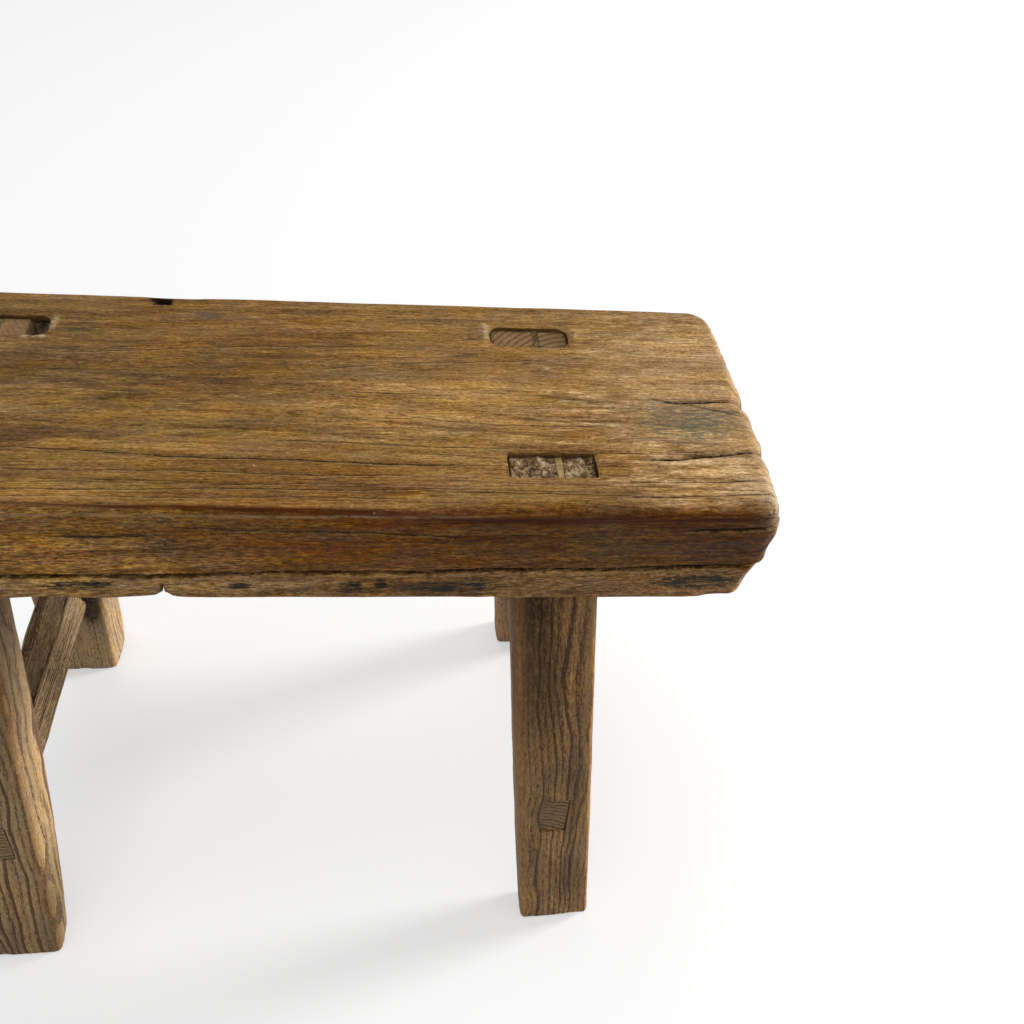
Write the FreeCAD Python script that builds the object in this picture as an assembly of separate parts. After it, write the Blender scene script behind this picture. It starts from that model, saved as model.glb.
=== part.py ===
"""Small splay-legged wooden stool, joined with wedged through tenons. Millimetres, +Z up.

The origin lies on the floor under the middle of the seat. X runs along the seat, Y across it.
"""
import FreeCAD, Part
import math
import os

from FreeCAD import Placement, Rotation, Vector

# Seat board, hewn thicker towards its right end
SEAT_LENGTH = 272.0
SEAT_WIDTH = 87.0
SEAT_THICKNESS_LEFT = 31.4
SEAT_THICKNESS_RIGHT = 39.4
SEAT_HEIGHT = 213.0
END_SKEW_FRONT = 1.5
END_SKEW_REAR = 2.4
END_BULGE_Y = -14.0
CORNER_RADIUS_FRONT = 5.0
CORNER_RADIUS_REAR = 6.5
TOP_WEAR_RADIUS = 4.0
UNDER_WEAR_RADIUS = 2.0

# Legs: each has a straight centre line from the tenon's end at the seat top to the foot on the floor.
# The outer face is flat; the inner face swells where the stretcher comes in and is hewn away below it.
LEG_WIDTH_SHOULDER = 24.3
LEG_WIDTH_FOOT = 27.0
LEG_OUTER_SHOULDER = 8.2
LEG_OUTER_FOOT = 7.0
LEG_INNER_SHOULDER = 10.2
LEG_INNER_SWELL = 13.1
LEG_INNER_FOOT_FRONT_LEFT = 3.3
LEG_INNER_FOOT_FRONT_RIGHT = 5.0
LEG_INNER_FOOT_REAR_LEFT = 15.6
LEG_INNER_FOOT_REAR_RIGHT = 7.0
SWELL_HEIGHT = 95.0
FOOT_HOLLOW_POWER = 2.4
LEG_EDGE_BEVEL = 1.2
FOOT_BEVEL_HEIGHT = 2.5
FOOT_BEVEL_INSET = 1.4

# Where each leg is set: its tenon's middle from the seat's end and side, and how far the foot splays out
TENON_FROM_SIDE = 16.5
TENON_FROM_END_FRONT_LEFT = 54.4
TENON_FROM_END_FRONT_RIGHT = 62.0
TENON_FROM_END_REAR_LEFT = 62.0
TENON_FROM_END_REAR_RIGHT = 62.0
SPLAY_X_FRONT_LEFT = 20.0
SPLAY_X_FRONT_RIGHT = 25.3
SPLAY_X_REAR_LEFT = 28.2
SPLAY_X_REAR_RIGHT = 28.5
SPLAY_Y = 39.2

# Tenons in the seat and their wedges
TENON_THICKNESS = 8.5
TENON_SIDE_SHOULDER = 0.4
TENON_CORNER_RADIUS = 1.0
TENON_RECESS = 1.0
WEDGE_LENGTH = 22.0
WEDGE_THICKNESS_TOP = 1.8
WEDGE_THICKNESS_TIP = 0.5
WEDGE_SHIFT = 2.0
KERF_SPARE_DEPTH = 2.0

# Stretchers
STRETCHER_Z_LEFT = 71.0
STRETCHER_Z_RIGHT = 69.5
STRETCHER_THICKNESS = 12.5
STRETCHER_HEIGHT = 20.0
STRETCHER_EDGE_RADIUS = 2.2
STRETCHER_TENON_THICKNESS = 9.0
STRETCHER_TENON_HEIGHT = 18.0
STRETCHER_TENON_SETBACK = 0.4

# Drying cracks in the seat, and the nick in its front lower edge
SHAKE_BELOW_TOP = 23.5
SHAKE_DEPTH = 3.0
SHAKE_WIDTH = 0.7
SHAKE_END_MARGIN = 9.0
END_CHECK_WIDTH = 1.1
END_CHECK_DEPTH = 5.0
CHECK_Y_LEFT = 6.0
CHECK_LENGTH_LEFT = 24.0
CHECK_Y_RIGHT_REAR = -1.2
CHECK_LENGTH_RIGHT_REAR = 26.0
CHECK_Y_RIGHT_FRONT = -22.0
CHECK_LENGTH_RIGHT_FRONT = 31.0
NICK_X = -27.9
NICK_WIDTH = 7.0
NICK_HEIGHT = 6.4
NICK_DEPTH = 3.0

# Fits, and how far a cutter runs past the face that it opens
FIT_GAP = 0.12
CUT_PAST = 1.0

TENON_WIDTH = LEG_WIDTH_SHOULDER - 2 * TENON_SIDE_SHOULDER
TENON_Y = SEAT_WIDTH / 2 - TENON_FROM_SIDE
SHOULDER_LEVEL = SEAT_HEIGHT - (SEAT_THICKNESS_LEFT + SEAT_THICKNESS_RIGHT) / 2
SHOULDER_LOW = SEAT_HEIGHT - max(SEAT_THICKNESS_LEFT, SEAT_THICKNESS_RIGHT) - CUT_PAST
SHOULDER_HIGH = SEAT_HEIGHT - min(SEAT_THICKNESS_LEFT, SEAT_THICKNESS_RIGHT) + CUT_PAST
REACH = SEAT_LENGTH + SEAT_HEIGHT
SAME_LEVEL = 1e-4

# Name of each leg: side in X, side in Y, tenon from the seat's end, splay in X, inner depth at the foot
LEGS = {
    "front_left": (-1, -1, TENON_FROM_END_FRONT_LEFT, SPLAY_X_FRONT_LEFT, LEG_INNER_FOOT_FRONT_LEFT),
    "front_right": (1, -1, TENON_FROM_END_FRONT_RIGHT, SPLAY_X_FRONT_RIGHT, LEG_INNER_FOOT_FRONT_RIGHT),
    "rear_left": (-1, 1, TENON_FROM_END_REAR_LEFT, SPLAY_X_REAR_LEFT, LEG_INNER_FOOT_REAR_LEFT),
    "rear_right": (1, 1, TENON_FROM_END_REAR_RIGHT, SPLAY_X_REAR_RIGHT, LEG_INNER_FOOT_REAR_RIGHT),
}
STRETCHERS = {"left": STRETCHER_Z_LEFT, "right": STRETCHER_Z_RIGHT}

# End of the seat, place across it and length of each end check
END_CHECKS = (
    (-1, CHECK_Y_LEFT, CHECK_LENGTH_LEFT),
    (1, CHECK_Y_RIGHT_REAR, CHECK_LENGTH_RIGHT_REAR),
    (1, CHECK_Y_RIGHT_FRONT, CHECK_LENGTH_RIGHT_FRONT),
)


def underside(x):
    """Height of the seat's sloping underside."""
    share = x / SEAT_LENGTH + 0.5
    return SEAT_HEIGHT - SEAT_THICKNESS_LEFT - (SEAT_THICKNESS_RIGHT - SEAT_THICKNESS_LEFT) * share


def leg_centre(name, z):
    """Point of a leg's centre line at height z."""
    side_x, side_y, from_end, splay_x, _ = LEGS[name]
    down = 1 - z / SEAT_HEIGHT
    x = SEAT_LENGTH / 2 - from_end + splay_x * down
    y = TENON_Y + SPLAY_Y * down
    return Vector(side_x * x, side_y * y, z)


def between(low, high, z):
    """Size of a leg at height z, from its foot size and its shoulder size."""
    return low + (high - low) * z / SHOULDER_LEVEL


def leg_width(z):
    return between(LEG_WIDTH_FOOT, LEG_WIDTH_SHOULDER, z)


def leg_outer(z):
    """Depth of a leg from its centre line to its flat outer face."""
    return between(LEG_OUTER_FOOT, LEG_OUTER_SHOULDER, z)


def leg_inner(name, z):
    """Depth of a leg from its centre line to its swelling inner face."""
    if z < SWELL_HEIGHT:
        hollow = (1 - z / SWELL_HEIGHT) ** FOOT_HOLLOW_POWER
        return LEG_INNER_SWELL + (LEGS[name][4] - LEG_INNER_SWELL) * hollow
    up = (z - SWELL_HEIGHT) / (SHOULDER_LEVEL - SWELL_HEIGHT)
    return LEG_INNER_SWELL + (LEG_INNER_SHOULDER - LEG_INNER_SWELL) * up


def rounded_rectangle(centre, size_x, size_y, radius):
    """Level rectangle with rounded corners, as a closed wire round a centre point."""
    half_x = size_x / 2
    half_y = size_y / 2
    edges = []
    last = None
    first = None
    for quarter, (sign_x, sign_y) in enumerate(((1, 1), (-1, 1), (-1, -1), (1, -1))):
        middle = centre + Vector(sign_x * (half_x - radius), sign_y * (half_y - radius), 0)
        turns = [math.radians(90 * quarter + step) for step in (0, 45, 90)]
        points = [middle + Vector(math.cos(a), math.sin(a), 0) * radius for a in turns]
        if last is not None:
            edges.append(Part.LineSegment(last, points[0]).toShape())
        else:
            first = points[0]
        edges.append(Part.Arc(*points).toShape())
        last = points[2]
    edges.append(Part.LineSegment(last, first).toShape())
    return Part.Wire(edges)


def bevelled_rectangle(centre, size_x, size_y, bevel):
    """Level rectangle with its corners cut off, as a closed wire round a centre point."""
    half_x = size_x / 2
    half_y = size_y / 2
    points = []
    for sign_x, sign_y in ((1, 1), (-1, 1), (-1, -1), (1, -1)):
        ends = [
            centre + Vector(sign_x * half_x, sign_y * (half_y - bevel), 0),
            centre + Vector(sign_x * (half_x - bevel), sign_y * half_y, 0),
        ]
        if sign_x != sign_y:
            ends.reverse()
        points += ends
    return Part.makePolygon(points + points[:1])


def loft(sections):
    return Part.makeLoft(sections, True, True)


def prism(points, depth):
    """Solid from a closed outline of points, pushed along the depth vector."""
    outline = Part.makePolygon(points + points[:1])
    return Part.Face(outline).extrude(depth)


def below_underside():
    """Everything lower than the seat's underside."""
    points = [Vector(x, -REACH, underside(x)) for x in (-REACH, REACH)]
    points.append(Vector(REACH, -REACH, -REACH))
    points.append(Vector(-REACH, -REACH, -REACH))
    return prism(points, Vector(0, 2 * REACH, 0))


def tenon_solid(name, gap, bottom, top):
    """Leaning tenon between two heights, grown by a gap on every side."""
    width = TENON_WIDTH + 2 * gap
    thickness = TENON_THICKNESS + 2 * gap
    radius = TENON_CORNER_RADIUS + gap
    sections = [rounded_rectangle(leg_centre(name, z), width, thickness, radius) for z in (bottom, top)]
    return loft(sections)


def level_rectangle(centre, size_x, size_y):
    """Level square-cornered rectangle as a closed wire round a centre point."""
    corners = []
    for sign_x, sign_y in ((-1, -1), (1, -1), (1, 1), (-1, 1)):
        corners.append(centre + Vector(sign_x * size_x / 2, sign_y * size_y / 2, 0))
    return Part.makePolygon(corners + corners[:1])


def taper_in_tenon(name, top, tip, gap, width):
    """Thin taper across a leaning tenon, thick at the top, grown by a gap on its two flat sides."""
    side_x = LEGS[name][0]
    sections = []
    for z, thickness in ((top, WEDGE_THICKNESS_TOP), (tip, WEDGE_THICKNESS_TIP)):
        centre = leg_centre(name, z) + Vector(side_x * WEDGE_SHIFT, 0, 0)
        sections.append(level_rectangle(centre, thickness + 2 * gap, width))
    return loft(sections)


def make_wedge(name):
    """Wedge that fills the kerf, flush with the tenon's end."""
    top = SEAT_HEIGHT - TENON_RECESS
    return taper_in_tenon(name, top, top - WEDGE_LENGTH, 0, TENON_THICKNESS - 2 * FIT_GAP)


def kerf(name):
    """Saw cut for the wedge: a little wider and deeper, and open on both sides of the tenon."""
    top = SEAT_HEIGHT - TENON_RECESS
    tip = top - WEDGE_LENGTH - KERF_SPARE_DEPTH
    return taper_in_tenon(name, top, tip, FIT_GAP, TENON_THICKNESS + 2 * CUT_PAST)


def stretcher_frame(side):
    """Middle, direction angle about Z, and length between leg centres of one stretcher."""
    z = STRETCHERS[side]
    front = leg_centre("front_" + side, z)
    rear = leg_centre("rear_" + side, z)
    run = rear - front
    turn = math.degrees(math.atan2(-run.x, run.y))
    return (front + rear) * 0.5, turn, run.Length


def bar(side, thickness, height, radius):
    """Bar along a stretcher's line, longer than the stool is deep, with rounded long edges."""
    middle, turn, length = stretcher_frame(side)
    outline = rounded_rectangle(Vector(0, 0, -length), thickness, height, radius)
    solid = Part.Face(outline).extrude(Vector(0, 0, 2 * length))
    lay_down = Placement(Vector(0, 0, 0), Rotation(Vector(1, 0, 0), 90))
    place = Placement(middle, Rotation(Vector(0, 0, 1), turn))
    solid.Placement = place.multiply(lay_down)
    return solid


def beyond_outer_face(name, offset):
    """Everything past a leg's outer face moved outwards by an offset."""
    side_y = LEGS[name][1]
    points = []
    for z in (0, SEAT_HEIGHT):
        y = leg_centre(name, z).y + side_y * (leg_outer(z) + offset)
        points.append(Vector(-REACH, y, z))
    points.append(Vector(-REACH, side_y * REACH, SEAT_HEIGHT))
    points.append(Vector(-REACH, side_y * REACH, 0))
    return prism(points, Vector(2 * REACH, 0, 0))


def stretcher_tenon(side, gap):
    """Through tenon of a stretcher as one long bar, grown by a gap."""
    thickness = STRETCHER_TENON_THICKNESS + 2 * gap
    height = STRETCHER_TENON_HEIGHT + 2 * gap
    return bar(side, thickness, height, TENON_CORNER_RADIUS + gap)


def make_stretcher(side):
    """Rail with shoulders scribed to the inner faces of its legs and a through tenon at each end."""
    body = bar(side, STRETCHER_THICKNESS, STRETCHER_HEIGHT, STRETCHER_EDGE_RADIUS)
    tenon = stretcher_tenon(side, 0)
    for row in ("front_", "rear_"):
        body = body.cut(beyond_outer_face(row + side, 0))
        body = body.cut(leg_shaft(row + side, FIT_GAP))
        tenon = tenon.cut(beyond_outer_face(row + side, -STRETCHER_TENON_SETBACK))
    return body.fuse(tenon).removeSplitter()


def leg_section(name, z, grow):
    """Outline of a leg at height z, grown on every side."""
    side_y = LEGS[name][1]
    outer = leg_outer(z) + grow
    inner = leg_inner(name, z) + grow
    middle = leg_centre(name, z) + Vector(0, side_y * (outer - inner) / 2, 0)
    return bevelled_rectangle(middle, leg_width(z) + 2 * grow, outer + inner, LEG_EDGE_BEVEL)


def leg_shaft(name, grow):
    """Leg with its bevelled foot, up to above the seat's underside, without any joint."""
    heights = [FOOT_BEVEL_HEIGHT]
    heights += [share * SWELL_HEIGHT for share in (0.1, 0.2, 0.32, 0.46, 0.65, 1)]
    heights.append(SHOULDER_HIGH)
    foot = leg_section(name, 0, grow - FOOT_BEVEL_INSET)
    return loft([foot] + [leg_section(name, z, grow) for z in heights])


def make_leg(name):
    """Leg with a shoulder under the seat, a kerfed tenon and a mortise for its stretcher."""
    shaft = leg_shaft(name, 0).common(below_underside())
    tenon = tenon_solid(name, 0, SHOULDER_LOW, SEAT_HEIGHT - TENON_RECESS)
    leg = shaft.fuse(tenon).removeSplitter()
    leg = leg.cut(kerf(name))
    side = name.split("_")[1]
    return leg.cut(stretcher_tenon(side, FIT_GAP))


def seat_outline():
    """Plan of the seat: straight long sides and bowed, slightly skewed ends."""
    tip = SEAT_LENGTH / 2
    half = SEAT_WIDTH / 2
    front_right = Vector(tip - END_SKEW_FRONT, -half, SHOULDER_LOW)
    rear_right = Vector(tip - END_SKEW_REAR, half, SHOULDER_LOW)
    front_left = Vector(-front_right.x, -half, SHOULDER_LOW)
    rear_left = Vector(-rear_right.x, half, SHOULDER_LOW)
    right_tip = Vector(tip, END_BULGE_Y, SHOULDER_LOW)
    left_tip = Vector(-tip, END_BULGE_Y, SHOULDER_LOW)
    edges = [
        Part.LineSegment(front_left, front_right).toShape(),
        Part.Arc(front_right, right_tip, rear_right).toShape(),
        Part.LineSegment(rear_right, rear_left).toShape(),
        Part.Arc(rear_left, left_tip, front_left).toShape(),
    ]
    return Part.Wire(edges)


def rim_edges(solid, level):
    """Edges that lie whole in a plane, whose height at any X a function gives."""
    found = []
    for edge in solid.Edges:
        points = edge.discretize(5)
        if all(abs(point.z - level(point.x)) < SAME_LEVEL for point in points):
            found.append(edge)
    return found


def upright_edges(solid, front):
    """The two upright corner edges on the front or on the rear side."""
    edges = [edge for edge in solid.Edges if edge.BoundBox.ZLength > SEAT_THICKNESS_LEFT / 2]
    return [edge for edge in edges if (edge.CenterOfMass.y < 0) == front]


def worn_board():
    """Plank with rounded corners, a sloping underside, a heavily worn top rim and a lightly worn lower one."""
    board = Part.Face(seat_outline()).extrude(Vector(0, 0, SEAT_HEIGHT - SHOULDER_LOW))
    board = board.makeFillet(CORNER_RADIUS_FRONT, upright_edges(board, True))
    board = board.makeFillet(CORNER_RADIUS_REAR, upright_edges(board, False))
    board = board.cut(below_underside())
    board = board.makeFillet(TOP_WEAR_RADIUS, rim_edges(board, lambda x: SEAT_HEIGHT))
    return board.makeFillet(UNDER_WEAR_RADIUS, rim_edges(board, underside))


def front_shake():
    """Long crack along the front face, widest in the middle."""
    half = SEAT_LENGTH / 2 - SHAKE_END_MARGIN
    y = -SEAT_WIDTH / 2 - CUT_PAST
    z = SEAT_HEIGHT - SHAKE_BELOW_TOP
    points = [
        Vector(-half, y, z),
        Vector(0, y, z - SHAKE_WIDTH / 2),
        Vector(half, y, z),
        Vector(0, y, z + SHAKE_WIDTH / 2),
    ]
    return prism(points, Vector(0, SHAKE_DEPTH + CUT_PAST, 0))


def end_check(side_x, y, length):
    """Drying crack that opens at a board end and closes along the grain."""
    tip = side_x * SEAT_LENGTH / 2
    z = SEAT_HEIGHT - END_CHECK_DEPTH
    points = [
        Vector(tip, y - END_CHECK_WIDTH / 2, z),
        Vector(tip, y + END_CHECK_WIDTH / 2, z),
        Vector(tip - side_x * length, y, z),
    ]
    return prism(points, Vector(0, 0, END_CHECK_DEPTH + CUT_PAST))


def underside_nick():
    """Three-cornered chip out of the front lower edge."""
    y = -SEAT_WIDTH / 2 - CUT_PAST
    points = [Vector(x, y, underside(x)) for x in (NICK_X - NICK_WIDTH / 2, NICK_X + NICK_WIDTH / 2)]
    points.append(Vector(NICK_X, y, underside(NICK_X) + NICK_HEIGHT))
    return prism(points, Vector(0, NICK_DEPTH + CUT_PAST, 0))


def make_seat():
    seat = worn_board()
    for name in LEGS:
        seat = seat.cut(tenon_solid(name, FIT_GAP, SHOULDER_LOW, SEAT_HEIGHT + CUT_PAST))
    seat = seat.cut(front_shake())
    seat = seat.cut(underside_nick())
    for side_x, y, length in END_CHECKS:
        seat = seat.cut(end_check(side_x, y, length))
    return seat


def export(shape, node):
    shape.exportStep(os.path.join("parts", node + ".step"))
    print(node, "solids", len(shape.Solids), "valid", shape.isValid(), "volume", round(shape.Volume, 1))


def main():
    os.makedirs("parts", exist_ok=True)
    export(make_seat(), "seat_board")
    for name in LEGS:
        export(make_leg(name), "leg_" + name)
        export(make_wedge(name), "wedge_" + name)
    for side in STRETCHERS:
        export(make_stretcher(side), "stretcher_" + side)


main()
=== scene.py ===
"""Looks of a small old splay-legged stool: worn seat plank, four wedged legs and two side stretchers.

Meshes are worked out in millimetres and handed to Blender in metres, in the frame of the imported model.
"""

import logging
import math
from dataclasses import dataclass, field, replace
from enum import Enum
from typing import Sequence, Union

import bpy
import numpy as np
from mathutils import Matrix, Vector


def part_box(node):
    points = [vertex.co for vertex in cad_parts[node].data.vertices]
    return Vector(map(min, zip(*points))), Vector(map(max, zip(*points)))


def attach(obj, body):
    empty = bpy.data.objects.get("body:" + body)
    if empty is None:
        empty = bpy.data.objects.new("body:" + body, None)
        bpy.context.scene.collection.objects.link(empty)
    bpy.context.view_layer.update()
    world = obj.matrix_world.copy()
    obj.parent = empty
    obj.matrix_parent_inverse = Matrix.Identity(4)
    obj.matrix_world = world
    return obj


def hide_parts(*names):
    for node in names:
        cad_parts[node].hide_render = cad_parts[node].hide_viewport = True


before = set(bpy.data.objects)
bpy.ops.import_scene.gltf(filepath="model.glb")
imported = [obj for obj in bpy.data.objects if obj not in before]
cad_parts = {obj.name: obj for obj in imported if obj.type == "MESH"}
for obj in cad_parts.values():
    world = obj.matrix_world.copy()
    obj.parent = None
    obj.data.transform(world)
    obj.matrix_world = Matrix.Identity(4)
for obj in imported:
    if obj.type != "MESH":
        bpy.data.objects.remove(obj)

LOG = logging.getLogger("stool")
MM = 0.001
BODY = "root"
IMAGE_PIXELS = 1024
SHARP_DEGREES = 50
# The grime layer holds soiling and also painted shade in recesses, under the seat and on shaded faces.
WEAR_LAYERS = ("ring", "grime", "rub", "fresh", "end", "crumb")

Points = np.ndarray
Number = Union["Wire", float]
Value = Union["Wire", float, Sequence[float]]
Inputs = dict[Union[int, str], Value]


class Face(Enum):
    """Sides of the seat board that carry marks of their own."""

    TOP = "top"
    FRONT = "front"


class Blend(Enum):
    """How a patch changes the wood: a stain covers it, a fade shifts its colour and keeps the grain."""

    STAIN = "MIX"
    FADE = "MULTIPLY"


class Kind(Enum):
    """Socket kinds of the shader groups."""

    VALUE = "NodeSocketFloat"
    COLOUR = "NodeSocketColor"
    VECTOR = "NodeSocketVector"


@dataclass(frozen=True)
class Tint:
    """A colour as the eye reads it, in 8-bit steps."""

    red: int
    green: int
    blue: int

    def linear(self) -> tuple[float, float, float, float]:
        """Turns the colour into linear light.

        Returns:
            Red, green, blue and full alpha.
        """
        steps = [part / 255 for part in (self.red, self.green, self.blue)]
        light = [s / 12.92 if s <= 0.04045 else ((s + 0.055) / 1.055) ** 2.4 for s in steps]
        return (light[0], light[1], light[2], 1.0)

    def over(self, base: "Tint") -> tuple[float, ...]:
        """Factor for each channel that turns the base colour into this one."""
        return tuple(mine / other for mine, other in zip(self.linear(), base.linear()))


@dataclass(frozen=True)
class WoodFinish:
    """How one kind of piece looks: its timber colours and how far it has aged."""

    name: str
    pale: Tint
    middle: Tint
    dark: Tint
    # Colour of soiling, and of the painted shade laid with it.
    grime: Tint
    rubbed: Tint
    end_grain: Tint
    ring_strength: float
    fibre_strength: float
    pore_strength: float
    line_strength: float
    blotch_strength: float
    roughness: float
    relief: float
    gloss: float = 0.2


# Waves per millimetre and size in millimetres of the two swings in a crack's line
WANDER = ((0.11, 0.28), (0.47, 0.09))


@dataclass(frozen=True)
class Crack:
    """A crack or dark growth line along the grain, as one bowed line on a face of the seat.

    Lengths are millimetres; start and end lie along X, the levels lie across the face.
    """

    face: Face
    start: float
    end: float
    level_start: float
    level_end: float
    bow: float = 0.0
    width: float = 0.25
    darkness: float = 0.7
    depth: float = 0.0

    def level(self, along: Points) -> Points:
        """Follows the crack's wandering line.

        Args:
            along: Places along X.

        Returns:
            Level across the face at each place.
        """
        share = (along - self.start) / (self.end - self.start)
        line = self.level_start + (self.level_end - self.level_start) * share
        line = line + 4 * self.bow * share * (1 - share)
        for (rate, size), phase in zip(WANDER, (self.level_start, self.level_end)):
            line = line + size * np.sin(rate * along + phase)
        return line


@dataclass(frozen=True)
class Patch:
    """A ragged stain, a faded place or a patch of painted shade on a face of the seat, in millimetres.

    Softness runs from 0 for a hard ragged edge to 1 for a wide soft one.
    """

    face: Face
    along: float
    across: float
    half_length: float
    half_width: float
    tint: Tint
    strength: float
    blend: Blend = Blend.FADE
    softness: float = 0.7


@dataclass(frozen=True)
class Splinter:
    """A torn, pale, slightly raised place on the seat's top, in millimetres."""

    x: float
    y: float
    half_x: float
    half_y: float
    lift: float = 0.5

    def weight(self, points: Points) -> Points:
        """Tells what belongs to the splinter.

        Args:
            points: Places, one row each.

        Returns:
            Share of each place, from 0 to 1.
        """
        off_x = (points[:, 0] - self.x) / self.half_x
        off_y = (points[:, 1] - self.y) / self.half_y
        return np.exp(-(off_x ** 2 + off_y ** 2) ** 2)


def smooth(values: Points, low: float, high: float) -> Points:
    """Smooth step from 0 at low to 1 at high.

    Args:
        values: Numbers to map.
        low: Where the step starts.
        high: Where the step ends.

    Returns:
        The mapped numbers.
    """
    share = np.clip((values - low) / (high - low), 0.0, 1.0)
    return share * share * (3 - 2 * share)


def hump(values: Points, rise: float, full: float, fall: float, gone: float) -> Points:
    """Smooth hump from 0 to 1: up from rise to full, and down again from fall to gone."""
    return smooth(values, rise, full) * (1 - smooth(values, fall, gone))


def bell(values: Points, middle: Union[Points, float], width: Union[Points, float]) -> Points:
    """Bell curve: 1 at the middle, and about a third at one width from it."""
    return np.exp(-((values - middle) / width) ** 2)


@dataclass(frozen=True)
class Wave:
    """One wave of wear: how deep it is, and its length along each axis in millimetres."""

    depth: float
    length: tuple[float, float, float]
    offset: float = 0.0


class WearNoise:
    """Seeded smooth noise, used to carve wear and to bend growth rings."""

    CELLS = 32

    def __init__(self, seed: int) -> None:
        """Fills the lattice from a seed."""
        self.lattice = np.random.default_rng(seed).uniform(-1, 1, (self.CELLS,) * 3)

    def at(self, points: Points, wavelength: Sequence[float]) -> Points:
        """Noise from -1 to 1.

        Args:
            points: Places, one row each.
            wavelength: Lattice spacing along each axis.

        Returns:
            One number for each place.
        """
        scaled = points / np.asarray(wavelength, float)
        base = np.floor(scaled).astype(int)
        part = scaled - base
        part = part * part * (3 - 2 * part)
        total = np.zeros(len(points))
        for corner in range(8):
            step = np.array([(corner >> axis) & 1 for axis in range(3)])
            cell = (base + step) % self.CELLS
            weight = np.prod(np.where(step, part, 1 - part), axis=1)
            total += weight * self.lattice[cell[:, 0], cell[:, 1], cell[:, 2]]
        return total

    def waves(self, points: Points, waves: Sequence[Wave]) -> Points:
        """Sum of some waves of wear at each place."""
        return sum(wave.depth * self.at(points + wave.offset, wave.length) for wave in waves)


@dataclass(frozen=True)
class Timber:
    """Growth rings of one piece: where its pith lies and how its rings run.

    Places are along the grain, across and deep, in millimetres from the piece's own middle.
    """

    BENDS = (Wave(1.0, (90, 26, 26)), Wave(0.45, (24, 9, 9)))

    pith_across: float
    pith_deep: float
    ring_width: float
    taper: float
    wobble: float
    seed: int
    wave: float = 1.0

    def rings(self, grain: Points) -> Points:
        """Counts the rings from the pith.

        Args:
            grain: Places in the wood.

        Returns:
            Count with its fraction at each place.
        """
        noise = WearNoise(self.seed)
        radius = np.hypot(grain[:, 1] - self.pith_across, grain[:, 2] - self.pith_deep)
        bend = noise.waves(grain / self.wave, self.BENDS)
        return (radius + self.taper * grain[:, 0] + self.wobble * bend) / self.ring_width


RING_RIDGE = (0.45, 0.92, 0.94, 1.0)


def ring_ridge(rings: Points) -> Points:
    """Hard late wood of each ring as a ridge from 0 to 1."""
    return hump(rings - np.floor(rings), *RING_RIDGE)


def lattice_box(counts: Sequence[int]) -> tuple[Points, Points]:
    """Closed box of quads on the outside of a lattice.

    Args:
        counts: Number of lattice stations along each axis.

    Returns:
        Lattice place of each vertex, and the four vertices of each face.
    """
    sides = []
    for axis in range(3):
        first, second = [other for other in range(3) if other != axis]
        grid = np.meshgrid(np.arange(counts[first]), np.arange(counts[second]), indexing="ij")
        for level in (0, counts[axis] - 1):
            place = np.zeros(grid[0].shape + (3,), int)
            place[..., first] = grid[0]
            place[..., second] = grid[1]
            place[..., axis] = level
            corners = [place[:-1, :-1], place[1:, :-1], place[1:, 1:], place[:-1, 1:]]
            quads = np.stack(corners, axis=2).reshape(-1, 4, 3)
            outward = (level > 0) != (axis == 1)
            sides.append(quads if outward else quads[:, ::-1])
    quads = np.concatenate(sides)
    keys = quads @ np.array([1, counts[0], counts[0] * counts[1]])
    unique, faces = np.unique(keys, return_inverse=True)
    columns = [unique % counts[0], unique // counts[0] % counts[1], unique // (counts[0] * counts[1])]
    return np.stack(columns, axis=1), faces.reshape(-1, 4)


def round_corners(x: Points, y: Points, half_x: Points, half_y: Points,
                  radius: Points) -> tuple[Points, Points]:
    """Draws the corners of a rectangle, and what lies near them, into arcs.

    Args:
        x: Places along the first axis, from the middle.
        y: Places along the second axis, from the middle.
        half_x: Half size along the first axis.
        half_y: Half size along the second axis.
        radius: Corner radius.

    Returns:
        The moved places along both axes.
    """
    past_x = np.abs(x) - (half_x - radius)
    past_y = np.abs(y) - (half_y - radius)
    corner = (past_x > 0) & (past_y > 0)
    reach = np.hypot(past_x, past_y)
    pull = np.where(corner, np.maximum(past_x, past_y) / np.maximum(reach, 1e-9), 1.0)
    new_x = np.where(corner, np.sign(x) * (half_x - radius + past_x * pull), x)
    new_y = np.where(corner, np.sign(y) * (half_y - radius + past_y * pull), y)
    return new_x, new_y


def stations(low: float, high: float, step: float, fine: float, zone: float) -> Points:
    """Places from low to high, closer together near both ends.

    Args:
        low: First place.
        high: Last place.
        step: Distance apart in the middle.
        fine: Distance apart in the end zones.
        zone: Length of each end zone.

    Returns:
        The places in order.
    """
    end = np.arange(0, zone, fine)
    middle = np.linspace(low + zone, high - zone, max(2, int(round((high - low - 2 * zone) / step)) + 1))
    return np.concatenate([low + end, middle, (high - end)[::-1]])


def make_object(name: str, points: Points, faces: Points) -> bpy.types.Object:
    """New mesh object from points in millimetres.

    Args:
        name: Name of the object.
        points: Vertices.
        faces: Vertex numbers of each face.

    Returns:
        The linked object.
    """
    mesh = bpy.data.meshes.new(name)
    mesh.from_pydata((points * MM).tolist(), [], faces.tolist())
    mesh.update()
    piece = bpy.data.objects.new(name, mesh)
    bpy.context.scene.collection.objects.link(piece)
    return piece


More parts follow.
